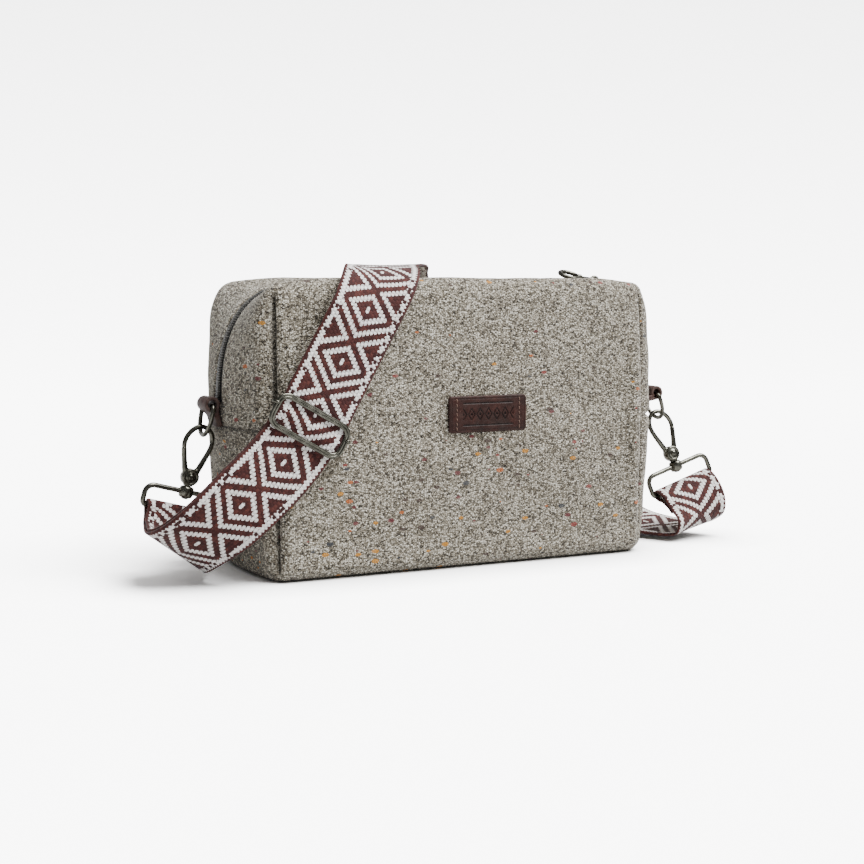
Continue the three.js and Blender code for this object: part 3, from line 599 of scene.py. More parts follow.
def shaped(grid):
    """The padded bag's rounded form from points (a, y, z) on a box, a being the share of the end's reach."""
    a, y, z = grid[:, 0], grid[:, 1], grid[:, 2]
    share = end_share(y) ** TURN_FALL
    left = a < 0
    run = CORNER_RUN + np.where(left, LEFT_TURN[0] - CORNER_RUN, RIGHT_TURN[0] - CORNER_RUN) * share
    drop = CORNER_DROP + np.where(left, LEFT_TURN[1] - CORNER_DROP, RIGHT_TURN[1] - CORNER_DROP) * share
    power = 2 + np.where(left, LEFT_TURN[2] - 2, RIGHT_TURN[2] - 2) * share
    reach = end_reach(y, z)
    x = a * reach
    high = z > HEIGHT / 2
    turn_z = np.where(high, drop, BOTTOM_TURN)
    turn_x = np.where(high, run, BOTTOM_TURN)
    core_x = np.clip(x, turn_x - reach, reach - turn_x)
    core_y = np.clip(y, FRONT_TURN - BODY_HALF_Y, BODY_HALF_Y - FRONT_TURN)
    core_z = np.clip(z, BOTTOM_TURN, HEIGHT - turn_z)
    # Front and rear edges turn with their own small radius, so only the part of z above that counts there.
    dx, dy, dz = (x - core_x) / turn_x, (y - core_y) / FRONT_TURN, (z - core_z) / turn_z
    size = (np.abs(dx) ** power + np.abs(dy) ** power + np.abs(dz) ** power) ** (1 / power)
    size = np.where(size > 1e-9, size, 1)
    largest = np.maximum(np.maximum(np.abs(dx), np.abs(dy)), np.abs(dz))
    scale = np.where(largest > 1e-9, 1 / size, 0)
    made = np.stack([core_x + dx * scale * turn_x, core_y + dy * scale * FRONT_TURN,
                     core_z + dz * scale * turn_z], axis=1)
    return made


def puffed(made):
    """Adds the crest of each top half and the fullness of the front and rear panels."""
    x, y, z = made.T
    top = smoothstep(HEIGHT * 0.55, HEIGHT, z)
    end_fade = 1 - smoothstep(0.088, 0.118, np.abs(x))
    crest = smoothstep(mm(3), mm(27), np.abs(y)) * (0.3 + 0.7 * end_fade)
    full = np.clip(1 - (x / CORNER_X) ** 4, 0, 1) * np.sin(np.pi * np.clip(z / HEIGHT, 0, 1)) ** 0.7
    face = np.clip(np.abs(y) / BODY_HALF_Y, 0, 1) ** 6
    lean = smoothstep(HEIGHT * 0.3, HEIGHT, z)
    outward = FULLNESS * full - LEAN * lean
    return np.stack([x, y + np.sign(y) * face * outward, z + CREST * top * crest], axis=1)


def vertex_normals(mesh):
    normals = np.zeros(len(mesh.vertices) * 3)
    mesh.vertex_normals.foreach_get("vector", normals)
    return normals.reshape(-1, 3)


def set_places(mesh, places):
    mesh.vertices.foreach_set("co", places.astype(np.float32).ravel())
    mesh.update()


def add_share(mesh, name, values):
    """Stores one number for each vertex, which a material can read by its name."""
    mesh.attributes.new(name, "FLOAT", "POINT").data.foreach_set("value", np.asarray(values, np.float32))


def ripple(places, scale, seed):
    """Smooth noise between -1 and 1 at each place."""
    offset = Vector((seed, 2 * seed, 3 * seed))
    return np.array([noise.noise(Vector(p) * scale + offset) for p in places])


def zip_height(x):
    """The zip line's height above the floor at a distance along the bag."""
    run, drop, power = LEFT_TURN if x < 0 else RIGHT_TURN
    past = abs(x) - (CORNER_X + END_BULGE - run)
    if past <= 0:
        return HEIGHT
    return HEIGHT - drop + drop * max(0.0, 1 - (past / run) ** power) ** (1 / power)


CHANNEL = mm(2.4)


def build_body():
    """The sewn tweed outer: padded form, zip channel, corner and end seams, soft unevenness."""
    xs = lines(-1, 1, [(-1, 0.03), (1, 0.03)], 0.0135)
    ys = lines(-BODY_HALF_Y, BODY_HALF_Y, [(-BODY_HALF_Y, mm(4)), (BODY_HALF_Y, mm(4)), (mm(-4), mm(2)),
                                           (mm(4), mm(2))], mm(1.7))
    zs = lines(0, HEIGHT, [(SEAM_Z, mm(3)), (0, mm(6)), (HEIGHT, mm(5))], mm(1.7))
    grid, faces = box_grid(xs, ys, zs)
    body = new_object("tweed_outer", puffed(shaped(grid)), faces, MATERIALS["tweed"])
    mesh = body.data
    places = np.zeros(len(mesh.vertices) * 3)
    mesh.vertices.foreach_get("co", places)
    places = places.reshape(-1, 3)
    normals = vertex_normals(mesh)
    a, y_box, z_box = grid.T
    reach = end_reach(y_box, z_box)
    from_corner = (1 - np.abs(a)) * reach + BODY_HALF_Y - np.abs(y_box)
    upright = smoothstep(0, mm(6), z_box) * (1 - smoothstep(HEIGHT - mm(4), HEIGHT, z_box))
    on_end = np.abs(a) > 0.999
    corner_share = np.exp(-from_corner / mm(0.8)) * upright
    corner = mm(3.2) * corner_share
    mid_height = smoothstep(0, mm(25), z_box) * (1 - smoothstep(HEIGHT - mm(50), HEIGHT - mm(4), z_box))
    shoulder = mm(1.8) * np.exp(-((from_corner - mm(8)) / mm(4.5)) ** 2) * mid_height
    inward_y = smoothstep(BODY_HALF_Y, BODY_HALF_Y - mm(8), np.abs(y_box))
    from_seam = np.abs(z_box - SEAM_Z)
    end_share_of_seam = np.exp(-from_seam / mm(1.1)) * on_end * inward_y
    end_seam = mm(2.0) * end_share_of_seam - mm(0.7) * np.exp(-((from_seam - mm(5)) / mm(3)) ** 2) * on_end * inward_y
    on_zip_path = (z_box > HEIGHT - 1e-6) | (on_end & (z_box > ZIP_BOTTOM))
    channel = CHANNEL * (1 - smoothstep(mm(4.2), mm(5.6), np.abs(y_box))) * on_zip_path
    roll = mm(0.5) * np.exp(-((np.abs(y_box) - mm(8)) / mm(3)) ** 2) * on_zip_path
    soft = mm(0.9) * ripple(places, 22, 3) + mm(0.45) * ripple(places, 60, 7)
    lump = mm(0.12) * ripple(places, 420, 11)
    calm = smoothstep(mm(0), mm(10), places[:, 2]) * (1 - 0.8 * on_zip_path * (1 - smoothstep(mm(6), mm(22), np.abs(y_box))))
    push = soft * calm + lump - corner + shoulder - end_seam - channel + roll
    set_places(mesh, places + normals * push[:, None])
    # Painted shade: the "seam" share marks where the tweed material darkens its colour, in the corner creases, the end
    # seam and, at 0.8 strength, the zip channel.
    add_share(mesh, "seam", np.maximum(np.maximum(corner_share, end_share_of_seam), 0.8 * channel / CHANNEL))
    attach(body, "bag")
    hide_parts("tweed_shell")
    return body


def build_padding():
    """The foam between shell and lining, and the lining bag: the shell's form set in by its layers."""
    layers = [("foam_padding", "foam_wadding", "foam", mm(5.0)), ("lining", "lining_bag", "lining", mm(8.4))]
    for node, name, material, inset in layers:
        xs = np.linspace(-1, 1, 48)
        ys = np.linspace(-BODY_HALF_Y, BODY_HALF_Y, 24)
        zs = np.linspace(0, HEIGHT, 36)
        grid, faces = box_grid(xs, ys, zs)
        made = new_object(name, puffed(shaped(grid)), faces, MATERIALS[material])
        places = np.array([v.co for v in made.data.vertices])
        normals = vertex_normals(made.data)
        floor_level = node_box(node)[0][2]
        places = places - normals * inset
        places[:, 2] = np.maximum(places[:, 2], floor_level)
        set_places(made.data, places)
        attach(made, "bag")
        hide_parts(node)
    dress("base_board", "board")


# ---------------------------------------------------------------- zip
def zip_line(low_z, count):
    """Points of the zip's path on the middle plane, from low on the left end to low on the right end."""
    xs = np.concatenate([-CORNER_X - END_BULGE + (LEFT_TURN[0]) * (1 - np.cos(np.linspace(0, np.pi / 2, 60))),
                         CORNER_X + END_BULGE - RIGHT_TURN[0] * (1 - np.sin(np.linspace(0, np.pi / 2, 60)))])
    line = np.array([(x, 0, zip_height(x)) for x in xs])
    left_foot, right_foot = line[0].copy(), line[-1].copy()
    left_foot[2] = right_foot[2] = low_z
    return resampled(np.vstack([left_foot, line, right_foot]), count)


def ribbon(line, y_low, y_high, lift, thickness):
    """(verts, faces) of a flat strip along the zip's path between two widths, raised off it by lift."""
    tangents = unit(np.gradient(line, axis=0))
    outward = np.cross(tangents, [0, 1, 0])
    verts = []
    for point, out in zip(line, outward):
        for y, h in [(y_low, lift), (y_high, lift), (y_high, lift + thickness), (y_low, lift + thickness)]:
            verts.append(point + out * h + np.array([0, y, 0]))
    faces = grid_faces(len(line), 4, close_columns=True)
    faces.append((3, 2, 1, 0))
    last = (len(line) - 1) * 4
    faces.append((last, last + 1, last + 2, last + 3))
    return verts, faces


COIL_PITCH = mm(1.35)


def coil_tooth(place, out, side):
    """One loop of the coil: a rounded bead leaning across the zip's middle line."""
    across = np.array([0, side, 0])
    beads = [(-0.55, 0.5, 0.35), (0.2, 0.62, 0.55), (1.1, 0.62, 0.6), (2.0, 0.55, 0.45), (2.6, 0.42, 0.25)]
    points = [place + across * mm(w) + out * mm(h) for w, r, h in beads]
    return tube(points, [mm(r) for w, r, h in beads], sides=6)


def build_zip():
    line = zip_line(ZIP_BOTTOM + mm(1.5), 170)
    for side, node in ((-1, "front"), (1, "rear")):
        near, far = sorted((side * mm(0.35), side * mm(6.2)))
        tape = joined(f"zip_tape_{node}", [ribbon(line, near, far, mm(-1.3), mm(0.7))], MATERIALS["tape"])
        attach(tape, "bag")
        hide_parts(f"zipper_tape_{node}")
    total = np.linalg.norm(np.diff(line, axis=0), axis=1).sum()
    count = int(total / COIL_PITCH)
    for side, node in ((-1, "front"), (1, "rear")):
        dense = resampled(line, 2 * count)
        tangents = unit(np.gradient(dense, axis=0))
        teeth = []
        start = 2 if side < 0 else 3
        for i in range(start, len(dense) - 2, 2):
            out = np.cross(tangents[i], [0, 1, 0])
            teeth.append(coil_tooth(dense[i] + out * mm(-0.2), out, side))
        made = joined(f"zip_coil_{node}", teeth, MATERIALS["teeth"])
        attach(made, "bag")
        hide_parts(f"zipper_teeth_{node}")
    for side in SIDES:
        dress(f"zipper_stop_{side}", "metal")


def build_slider():
    low, high = node_box("zipper_slider")
    middle = (low + high) / 2
    hinge = np.array(JOINTS["puller_hinge"]["pos_m"])
    plate_z = HEIGHT + mm(0.1)
    body_outline = np.array([(-5.2, 2.6), (-4.4, 3.6), (-1, 4.2), (3, 4.7), (4.8, 4.6), (5.2, 3.8),
                             (5.2, -3.8), (4.8, -4.6), (3, -4.7), (-1, -4.2), (-4.4, -3.6), (-5.2, -2.6)]) * 0.001
    start_x = SLIDER_X
    plate = slab(body_outline, mm(1.3), mm(0.4), lambda x, y, h: (start_x + x, y, plate_z + h))
    lip_line = resampled(body_outline[1:5], 12)
    lips = []
    for side in (1, -1):
        points = [(start_x + x, side * (abs(y) - mm(0.3)), plate_z + mm(0.1)) for x, y in lip_line]
        lips.append(tube(points, mm(0.55), sides=8))
    arch = [(hinge[0] + mm(x), 0, plate_z + mm(z)) for x, z in
            [(-4.2, 1.0), (-3.6, 2.6), (-1.6, 4.3), (0.6, 4.3), (2.0, 3.0), (2.2, 1.0)]]
    made = joined("zip_slider_body", [plate, *lips, tube(spline(arch, 26), mm(0.75), sides=10)],
                  MATERIALS["metal"])
    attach(made, "slider")
    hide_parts("zipper_slider")


SLIDER_X = (node_box("zipper_slider")[0][0] + node_box("zipper_slider")[1][0]) / 2 - mm(0.25)
PULL_TILT = math.radians(8)
RING_ROLL = math.radians(24)  # the ring lies rolled in its collar, its rear side higher


def build_pull():
    """Blade, collar and thick oval ring, lying towards -X from the slider's arch."""
    hinge = np.array(JOINTS["puller_hinge"]["pos_m"])

    def place(x, y, h):
        return (hinge[0] - x * math.cos(PULL_TILT) - h * math.sin(PULL_TILT) * -1, y,
                hinge[2] + x * math.sin(PULL_TILT) + h * math.cos(PULL_TILT))

    eye = tube(spline([place(mm(x), mm(y), 0) for x, y in
                       [(-0.9, 0), (-0.4, 1.7), (2, 2.1), (4.6, 1.4), (5.2, 0), (4.6, -1.4), (2, -2.1),
                        (-0.4, -1.7)]], 28, closed=True), mm(0.62), closed=True, sides=10)
    blade_outline = np.array([(4.6, 1.5), (9, 1.3), (11.4, 1.1), (11.4, -1.1), (9, -1.3), (4.6, -1.5)]) * 0.001
    blade = slab(blade_outline, mm(1.2), mm(0.3), lambda x, y, h: place(x, y, h - mm(0.6)))
    collar = tube([place(mm(x), 0, 0) for x in (10.6, 11.4, 12.2)], mm(1.55), sides=14)
    oval = [(mm(18.2) + mm(6.1) * math.cos(t), mm(4.5) * math.sin(t)) for t in np.linspace(0, 2 * np.pi, 41)[:-1]]
    ring = tube([place(x, y * math.cos(RING_ROLL), y * math.sin(RING_ROLL)) for x, y in oval], mm(1.2),
                closed=True, sides=14)
    made = joined("zip_pull_ring", [eye, blade, collar, ring], MATERIALS["metal"])
    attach(made, "puller")
    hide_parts("zipper_pull")


# ---------------------------------------------------------------- leather
def strip(points, across, half_width, thickness, corner=mm(0.5)):
    """(verts, faces) of a flat strip swept along points; across is its constant width direction."""
    points = np.array(points, float)
    across = np.array(across, float)
    tangents = unit(np.gradient(points, axis=0))
    faces_out = unit(np.cross(tangents, across))
    section = rounded_rectangle(half_width, thickness / 2, corner, steps=4)
    verts = [p + across * u + n * v for p, n in zip(points, faces_out) for u, v in section]
    faces = grid_faces(len(points), len(section), close_columns=True)
    faces.append(tuple(range(len(section)))[::-1])
    last = (len(points) - 1) * len(section)
    faces.append(tuple(range(last, last + len(section))))
    return verts, faces


def build_loop(side):
    """A leather strip folded over the D-ring's bar, both its ends sewn into the end seam."""
    low, high = node_box(f"leather_loop_{side}")
    outward = -1 if side == "left" else 1
    radius = mm(3.3)
    far = low[0] if outward < 0 else high[0]
    centre = np.array([far - outward * mm(5.0), 0, high[2] - mm(5.0)])
    foot = np.array([(CORNER_X + END_BULGE + mm(1.6)) * outward, 0, low[2] + mm(0.4)])
    middle = (foot + centre) / 2
    points = [foot + [outward * mm(0.5), 0, 0], middle + [outward * mm(0.1), 0, mm(-0.3)]]
    for angle in np.linspace(-60, 215, 15):
        turn = math.radians(angle)
        points.append(centre + radius * np.array([outward * math.cos(turn), 0, math.sin(turn)]))
    points += [middle + [-outward * mm(0.8), 0, mm(0.9)], foot + [-outward * mm(0.9), 0, 0]]
    made = joined(f"loop_strap_{side}", [strip(spline(points, 60), (0, 1, 0), mm(7.2), mm(1.8), mm(0.6))],
                  MATERIALS["worn_leather"])
    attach(made, "bag")
    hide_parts(f"leather_loop_{side}")


LABEL_CORNER = mm(2)


def label_relief(u, v):
    """The share, 0 to 1, by which the label is pressed in at a place: a row of diamonds between two lines."""
    cell = mm(5.2)
    inside = np.abs(u) < mm(15.6)
    x = (u + cell / 2) % cell - cell / 2
    d = np.abs(x) / (cell * 0.5) + np.abs(v) / mm(4.0)
    outline = np.exp(-((d - 0.78) / 0.13) ** 2)
    heart = 1 - smoothstep(0.16, 0.34, d)
    rule = np.exp(-((np.abs(v) - mm(6.0)) / mm(0.35)) ** 2)
    rim = np.exp(-(np.minimum(mm(24) - np.abs(u), mm(10) - np.abs(v)) - mm(1.5)) ** 2 / mm(0.35) ** 2)
    return np.clip((outline + heart + rule) * inside + 0.4 * rim, 0, 1)


def build_label():
    low, high = node_box("label_patch")
    centre = (low + high) / 2
    half = (high - low) / 2
    us = np.linspace(-half[0], half[0], 193)
    vs = np.linspace(-half[2], half[2], 81)
    u, v = np.meshgrid(us, vs, indexing="ij")
    # Corner squares are pulled in to a quarter circle.
    core_u = np.clip(u, -half[0] + LABEL_CORNER, half[0] - LABEL_CORNER)
    core_v = np.clip(v, -half[2] + LABEL_CORNER, half[2] - LABEL_CORNER)
    du, dv = u - core_u, v - core_v
    square = np.maximum(np.abs(du), np.abs(dv))
    length = np.hypot(du, dv)
    shrink = np.where(length > 0, square / np.maximum(length, 1e-9), 1)
    pu, pv = core_u + du * shrink, core_v + dv * shrink
    edge = np.clip(np.minimum(half[0] - np.abs(u), half[2] - np.abs(v)), 0, None)
    round_off = mm(0.5) * np.exp(-edge / mm(0.3))
    pressed = label_relief(u, v)
    face_y = low[1] + round_off + mm(0.5) * pressed
    bow = mm(0.25) * ((u / half[0]) ** 2 + (v / half[2]) ** 2)
    front = np.stack([centre[0] + pu, face_y + bow, centre[2] + pv], axis=-1).reshape(-1, 3)
    back = np.stack([centre[0] + pu, np.full_like(pu, high[1] + mm(0.2)), centre[2] + pv], axis=-1).reshape(-1, 3)
    rows, columns = u.shape
    count = rows * columns
    faces = grid_faces(rows, columns)
    faces += [tuple(reversed(f)) for f in grid_faces(rows, columns, start=count)]
    rim = [i * columns for i in range(rows)] + [(rows - 1) * columns + j for j in range(1, columns)]
    rim += [i * columns + columns - 1 for i in range(rows - 2, -1, -1)] + [j for j in range(columns - 2, 0, -1)]
    faces += [(a, b, count + b, count + a) for a, b in zip(rim, rim[1:] + rim[:1])]
    made = joined("label_plate", [(np.vstack([front, back]), faces)], MATERIALS["leather"])
    add_share(made.data, "pressed", np.concatenate([pressed.ravel(), np.zeros(count)]))
    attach(made, "bag")
    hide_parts("label_patch")
    stitches = []
    for x in (-half[0] + mm(4.6), half[0] - mm(4.6)):
        for k in range(7):
            z = (k - 3) * mm(2.55)
            ends = [(centre[0] + x + mm(0.12), low[1] + mm(0.42), centre[2] + z - mm(0.75)),
                    (centre[0] + x, low[1] + mm(0.1), centre[2] + z),
                    (centre[0] + x - mm(0.12), low[1] + mm(0.42), centre[2] + z + mm(0.75))]
            stitches.append(tube(spline(ends, 7), mm(0.26), sides=8))
    thread = joined("label_stitches", stitches, MATERIALS["thread"])
    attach(thread, "bag")


# ---------------------------------------------------------------- metal hardware
RING_LEAN = {"left": math.radians(-12), "right": math.radians(20)}
HOOK = {"wire": mm(1.32), "boss_z": mm(8)}


def hardware_frame(side):
    """Turns (outward, deep, up) lengths from the swivel's centre into places in the row frame."""
    swivel = JOINTS[f"hook_{side}_swivel"]
    centre, up = np.array(swivel["pos_m"]), unit(swivel["axis"])
    outward = unit(JOINTS[f"bail_{side}_hinge"]["axis"])
    deep = np.cross(up, outward)
    bar = np.array(JOINTS[f"bail_{side}_hinge"]["pos_m"])
    return (lambda x, y, z: centre + outward * x + deep * y + up * z), float((centre - bar) @ up)


def metal_piece(name, pieces, body_name, *nodes):
    made = joined(name, pieces, MATERIALS["metal"])
    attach(made, body_name)
    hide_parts(*nodes)


def build_ring(side):
    bar = np.array(JOINTS[f"ring_{side}_hinge"]["pos_m"])
    down = np.array([math.sin(RING_LEAN[side]), 0, -math.cos(RING_LEAN[side])])
    half, height = mm(8.9), mm(16)
    outline = [(0, 0), (5.6, 0), (7.9, -0.5), (8.9, -2.4), (8.9, -5)]
    bottom = [(half * math.cos(t), mm(-5) - (height - mm(5)) * math.sin(t)) for t in np.linspace(0.25, np.pi - 0.25, 13)]
    right = [(mm(x), mm(y)) for x, y in outline]
    left = [(-x, y) for x, y in reversed(right[1:])]
    points = [bar + np.array([0, x, 0]) - down * y for x, y in right + bottom + left]
    metal_piece(f"d_ring_wire_{side}", [tube(spline(points, 72, closed=True), mm(1.22), closed=True)],
                f"ring_{side}", f"d_ring_{side}")


def build_bail(side):
    place, height = hardware_frame(side)
    outline = rounded_rectangle(mm(22.2), height / 2, mm(4.8), mm(2.4), steps=8)
    outline = resampled(np.vstack([outline, outline[:1]]), 110, closed=True)
    wire = tube([place(x, 0, z - height / 2) for x, z in outline], mm(1.4), closed=True)
    barrel = lathe([(0, mm(-3.3)), (mm(2.4), mm(-3.3)), (mm(3.3), mm(-2.9)), (mm(3.8), mm(-1.8)), (mm(3.8), mm(1.8)),
                    (mm(3.3), mm(2.7)), (mm(2.4), mm(3.0)), (0, mm(3.0))], 28, place)
    metal_piece(f"bail_wire_{side}", [wire, barrel], f"bail_{side}", f"bail_{side}")


def build_hook(side):
    place, _ = hardware_frame(side)
    bow = [(-2.4, 9.6), (-3.9, 13.6), (-5.6, 18.6), (-7.0, 23), (-7.7, 26.8), (-7.3, 30.6), (-5.4, 33.8),
           (-2.2, 35.6), (1.4, 35.2), (4.6, 32.6), (6.6, 29), (7.2, 25.6), (7.0, 23.6)]
    points = spline([place(mm(x), 0, mm(z)) for x, z in bow], 80)
    radii = HOOK["wire"] * (1.22 - 0.22 * smoothstep(0, 0.4, np.linspace(0, 1, 80)))
    wire = tube(points, radii)

    def across(x, y, h):
        return place(x, h, HOOK["boss_z"] + y)

    boss = lathe([(0, mm(-2.7)), (mm(2.5), mm(-2.7)), (mm(2.7), mm(-2.45)), (mm(3.0), mm(-2.45)),
                  (mm(3.3), mm(-2.9)), (mm(4.2), mm(-2.8)), (mm(4.6), mm(-2.2)), (mm(4.6), mm(2.2)),
                  (mm(4.2), mm(2.8)), (mm(3.3), mm(2.9)), (mm(3.0), mm(2.45)), (mm(2.7), mm(2.45)),
                  (mm(2.5), mm(2.7)), (0, mm(2.7))], 36, across)
    neck = lathe([(0, mm(3.2)), (mm(2.3), mm(3.2)), (mm(2.7), mm(3.6)), (mm(2.5), mm(4.6)), (mm(2.9), mm(6)),
                  (mm(2.6), mm(7.5)), (0, mm(7.5))], 24, place)
    cheek = tube(spline([place(mm(x), 0, mm(z)) for x, z in [(0.5, 9.5), (-1.8, 9.8), (-3.0, 11.6)]], 12), mm(1.9))
    metal_piece(f"hook_frame_{side}", [wire, boss, neck, cheek], f"hook_{side}", f"hook_body_{side}")
    head = [(0, mm(-3.9)), (mm(0.8), mm(-3.85)), (mm(1.5), mm(-3.55)), (mm(1.9), mm(-3.0)), (mm(1.9), mm(3.0)),
            (mm(1.5), mm(3.55)), (mm(0.8), mm(3.85)), (0, mm(3.9))]
    metal_piece(f"rivet_{side}", [lathe(head, 24, across)], f"hook_{side}", f"gate_rivet_{side}")
    post = lathe([(0, mm(-4.1)), (mm(1.1), mm(-4.0)), (mm(1.8), mm(-3.7)), (mm(1.9), mm(-3.4)), (mm(1.5), mm(-3.0)),
                  (mm(1.5), mm(3.6)), (0, mm(3.6))], 20, place)
    metal_piece(f"swivel_pin_{side}", [post], f"hook_{side}", f"swivel_post_{side}")
    gate_line = [place(mm(x), 0, mm(z)) for x, z in [(2.6, 9.6), (3.9, 12.6), (5.4, 17.4), (6.7, 22.2)]]
    radii = mm(1.42) * (1.22 - 0.22 * smoothstep(0, 0.6, np.linspace(0, 1, 36)))
    gate = tube(spline(gate_line, 36), radii)
    lug = tube(spline([place(mm(x), 0, mm(z)) for x, z in [(0.6, 9.2), (2.2, 9.4), (3.2, 11.2)]], 10), mm(1.75))
    metal_piece(f"gate_wire_{side}", [gate, lug], f"gate_{side}", f"hook_gate_{side}")
    dress(f"gate_spring_{side}", "metal")


# ---------------------------------------------------------------- strap
STRAP_HALF = mm(20)
STRAP_THICK = mm(1.4)
STRAP_Y = mm(-52.5)
PLY_PITCH = mm(1.8)
WRAP = mm(2.7)  # from a bail's bar to the middle of the webbing wrapped round it
RUN_TOP = mm(-66.2, -52.5, 140)
RUN_FOOT = mm(-100.3, -52.5, 80)
RUN_UP = unit(RUN_TOP - RUN_FOOT)
RUN_ACROSS = np.array([RUN_UP[2], 0, -RUN_UP[0]])
ADJUSTER_AT = RUN_FOOT + RUN_UP * mm(3.6)
PATTERN_START = mm(28.7)  # below the run's top, a diamond's middle


def station(x, y, z, wx, wy, wz):
    return np.concatenate([mm(x, y, z), unit([wx, wy, wz]) * 0.01])


def on_run(share):
    return np.concatenate([RUN_FOOT + (RUN_TOP - RUN_FOOT) * share, RUN_ACROSS * 0.01])


def bar_frame(side, leaving):
    """(bar, width, face, run) where the strap passes a bail's bar; leaving points roughly along it."""
    bar = np.array(JOINTS[f"bail_{side}_hinge"]["pos_m"])
    across = unit(JOINTS[f"bail_{side}_hinge"]["axis"]) * (1 if side == "right" else -1)
    run = unit(np.array(leaving) - across * (np.array(leaving) @ across))
    return bar, across, np.cross(run, across), run


RIGHT_BAR = bar_frame("right", (0, -0.9, -0.35))
LEFT_BAR = bar_frame("left", (0.2, 0.6, 0.77))


def beside_bar(frame_there, distance):
    bar, across, face, run = frame_there
    return np.concatenate([bar + face * WRAP + run * distance, across * 0.01])


def outer_stations():
    """Where the strap lies, from the right bail round the back, over the top and down to the left bail."""
    return [
        beside_bar(RIGHT_BAR, 0), beside_bar(RIGHT_BAR, mm(5)),
        station(169.5, -22, 23, 0.94, 0.05, 0.33), station(170, -24, 14, 0.95, 0.15, 0.2),
        station(168.5, -19.5, 7.5, 0.94, 0.3, 0.13), station(164, -10, 5.5, 0.89, 0.44, 0.1),
        station(157, 4, 6, 0.87, 0.47, 0.12), station(149, 18, 8, 0.86, 0.46, 0.18),
        station(141, 33, 12.5, 0.84, 0.4, 0.33), station(132, 46, 20.5, 0.78, 0.22, 0.57),
        station(116, 51.3, 32.5, 0.68, 0.03, 0.73), station(85, 51, 57, 0.7, 0, 0.71),
        station(45, 51, 98, 0.7, 0, 0.71), station(8, 51, 136, 0.76, 0, 0.65),
        station(-1, 46, 154, 0.84, -0.3, 0.4), station(-10, 31, 163, 0.84, -0.5, 0.12),
        station(-32, 0, 165.3, 0.88, -0.46, 0), station(-45.5, -30, 163, 0.9, -0.38, -0.12),
        station(-56.5, -46.5, 155, 0.89, -0.2, -0.38),
        on_run(1), on_run(0.66), on_run(0.33), on_run(0),
        station(-113.2, -52.5, 64.3, 0.74, 0, -0.67), station(-131, -51.5, 47.5, 0.7, 0, -0.71),
        station(-147, -46, 32, 0.76, 0.1, -0.64), station(-158, -34, 21, 0.76, 0.2, -0.62),
        station(-160.5, -21, 17.5, 0.8, 0.15, -0.58), station(-156.5, -9.5, 21.5, 0.89, 0.05, -0.42),
        beside_bar(LEFT_BAR, mm(-5)), beside_bar(LEFT_BAR, 0),
    ]


def outer_ply():
    """Arrays (centre, across, face) of the outer webbing, about 1.6 mm apart."""
    line = spline_stations(outer_stations())
    centre, across = line[:, :3], line[:, 3:]
    tangents = unit(np.gradient(centre, axis=0))
    across = unit(across - tangents * (across * tangents).sum(1, keepdims=True))
    return centre, across, np.cross(tangents, across)


def spline_stations(stations):
    """Centripetal-looking path through six-number stations, evenly spaced by its place only."""
    stations = np.array(stations)
    padded = np.vstack([2 * stations[0] - stations[1], stations, 2 * stations[-1] - stations[-2]])
    fine = []
    for p0, p1, p2, p3 in zip(padded, padded[1:], padded[2:], padded[3:]):
        k1, k2, k3 = (max(np.linalg.norm((b - a)[:3]), 1e-6) ** 0.5 for a, b in ((p0, p1), (p1, p2), (p2, p3)))
        m1 = (p2 - p1) + k2 * ((p1 - p0) / k1 - (p2 - p0) / (k1 + k2))
        m2 = (p2 - p1) + k2 * ((p3 - p2) / k3 - (p3 - p1) / (k2 + k3))
        for t in np.linspace(0, 1, 30, endpoint=False):
            fine.append((2 * t ** 3 - 3 * t ** 2 + 1) * p1 + (t ** 3 - 2 * t ** 2 + t) * m1
                        + (3 * t ** 2 - 2 * t ** 3) * p2 + (t ** 3 - t ** 2) * m2)
    fine.append(stations[-1])
    fine = np.array(fine)
    gone = arc_lengths(fine[:, :3])
    places = np.linspace(0, gone[-1], int(gone[-1] / mm(1.6)))
    return np.stack([np.interp(places, gone, fine[:, k]) for k in range(6)], axis=1)


def arc_lengths(points):
    return np.concatenate([[0], np.cumsum(np.linalg.norm(np.diff(points, axis=0), axis=1))])


def bend_round(frame_there, towards):
    """The half turn round a bail's bar, from the outer ply's side to the inner ply's."""
    bar, across, face, run = frame_there
    angles = np.linspace(0, np.pi, 14)[1:-1, None]
    faces = face * np.cos(angles) + run * towards * np.sin(angles)
    return bar + faces * WRAP, np.repeat(across[None], len(angles), 0), faces


def inner_ply(centre, across, face, length):
    """A second ply inside the outer one, from the bar for the given length."""
    gone = arc_lengths(centre)
    keep = gone <= length
    closing = smoothstep(mm(2.5), mm(17), gone[keep])
    drop = 2 * WRAP + (PLY_PITCH - 2 * WRAP) * closing
    return centre[keep] - face[keep] * drop[:, None], across[keep], -face[keep]


def band(name, centre, across, face, u_start, sag=0.0):
    """A webbing band with softly rounded selvages; its UV map is in millimetres along and across."""
    section = [(-20.0, 0), (-19.75, 0.6), (-19.1, 0.85)] + [(w, 0.8) for w in np.linspace(-17, 17, 18)]
    section += [(19.1, 0.85), (19.75, 0.6), (20.0, 0)]
    section += [(w, -h) for w, h in reversed(section[1:-1])]
    section = np.array(section) * 0.001
    cup = -sag * (1 - (section[:, 0] / STRAP_HALF) ** 2)
    verts = (centre[:, None] + across[:, None] * section[None, :, 0:1]
             + face[:, None] * (section[None, :, 1:2] + cup[None, :, None])).reshape(-1, 3)
    count = len(section)
    faces = grid_faces(len(centre), count, close_columns=True)
    faces.append(tuple(range(count))[::-1])
    faces.append(tuple(range((len(centre) - 1) * count, len(centre) * count)))
    made = new_object(name, verts, faces, MATERIALS["webbing"])
    along = (arc_lengths(centre) + u_start) * 1000
    uv = made.data.uv_layers.new(name="strap")
    loops = np.zeros(len(made.data.loops), int)
    made.data.loops.foreach_get("vertex_index", loops)
    values = np.stack([along[loops // count], section[loops % count, 0] * 1000], axis=1)
    uv.data.foreach_set("uv", values.ravel())
    fix_winding(made)
    return made


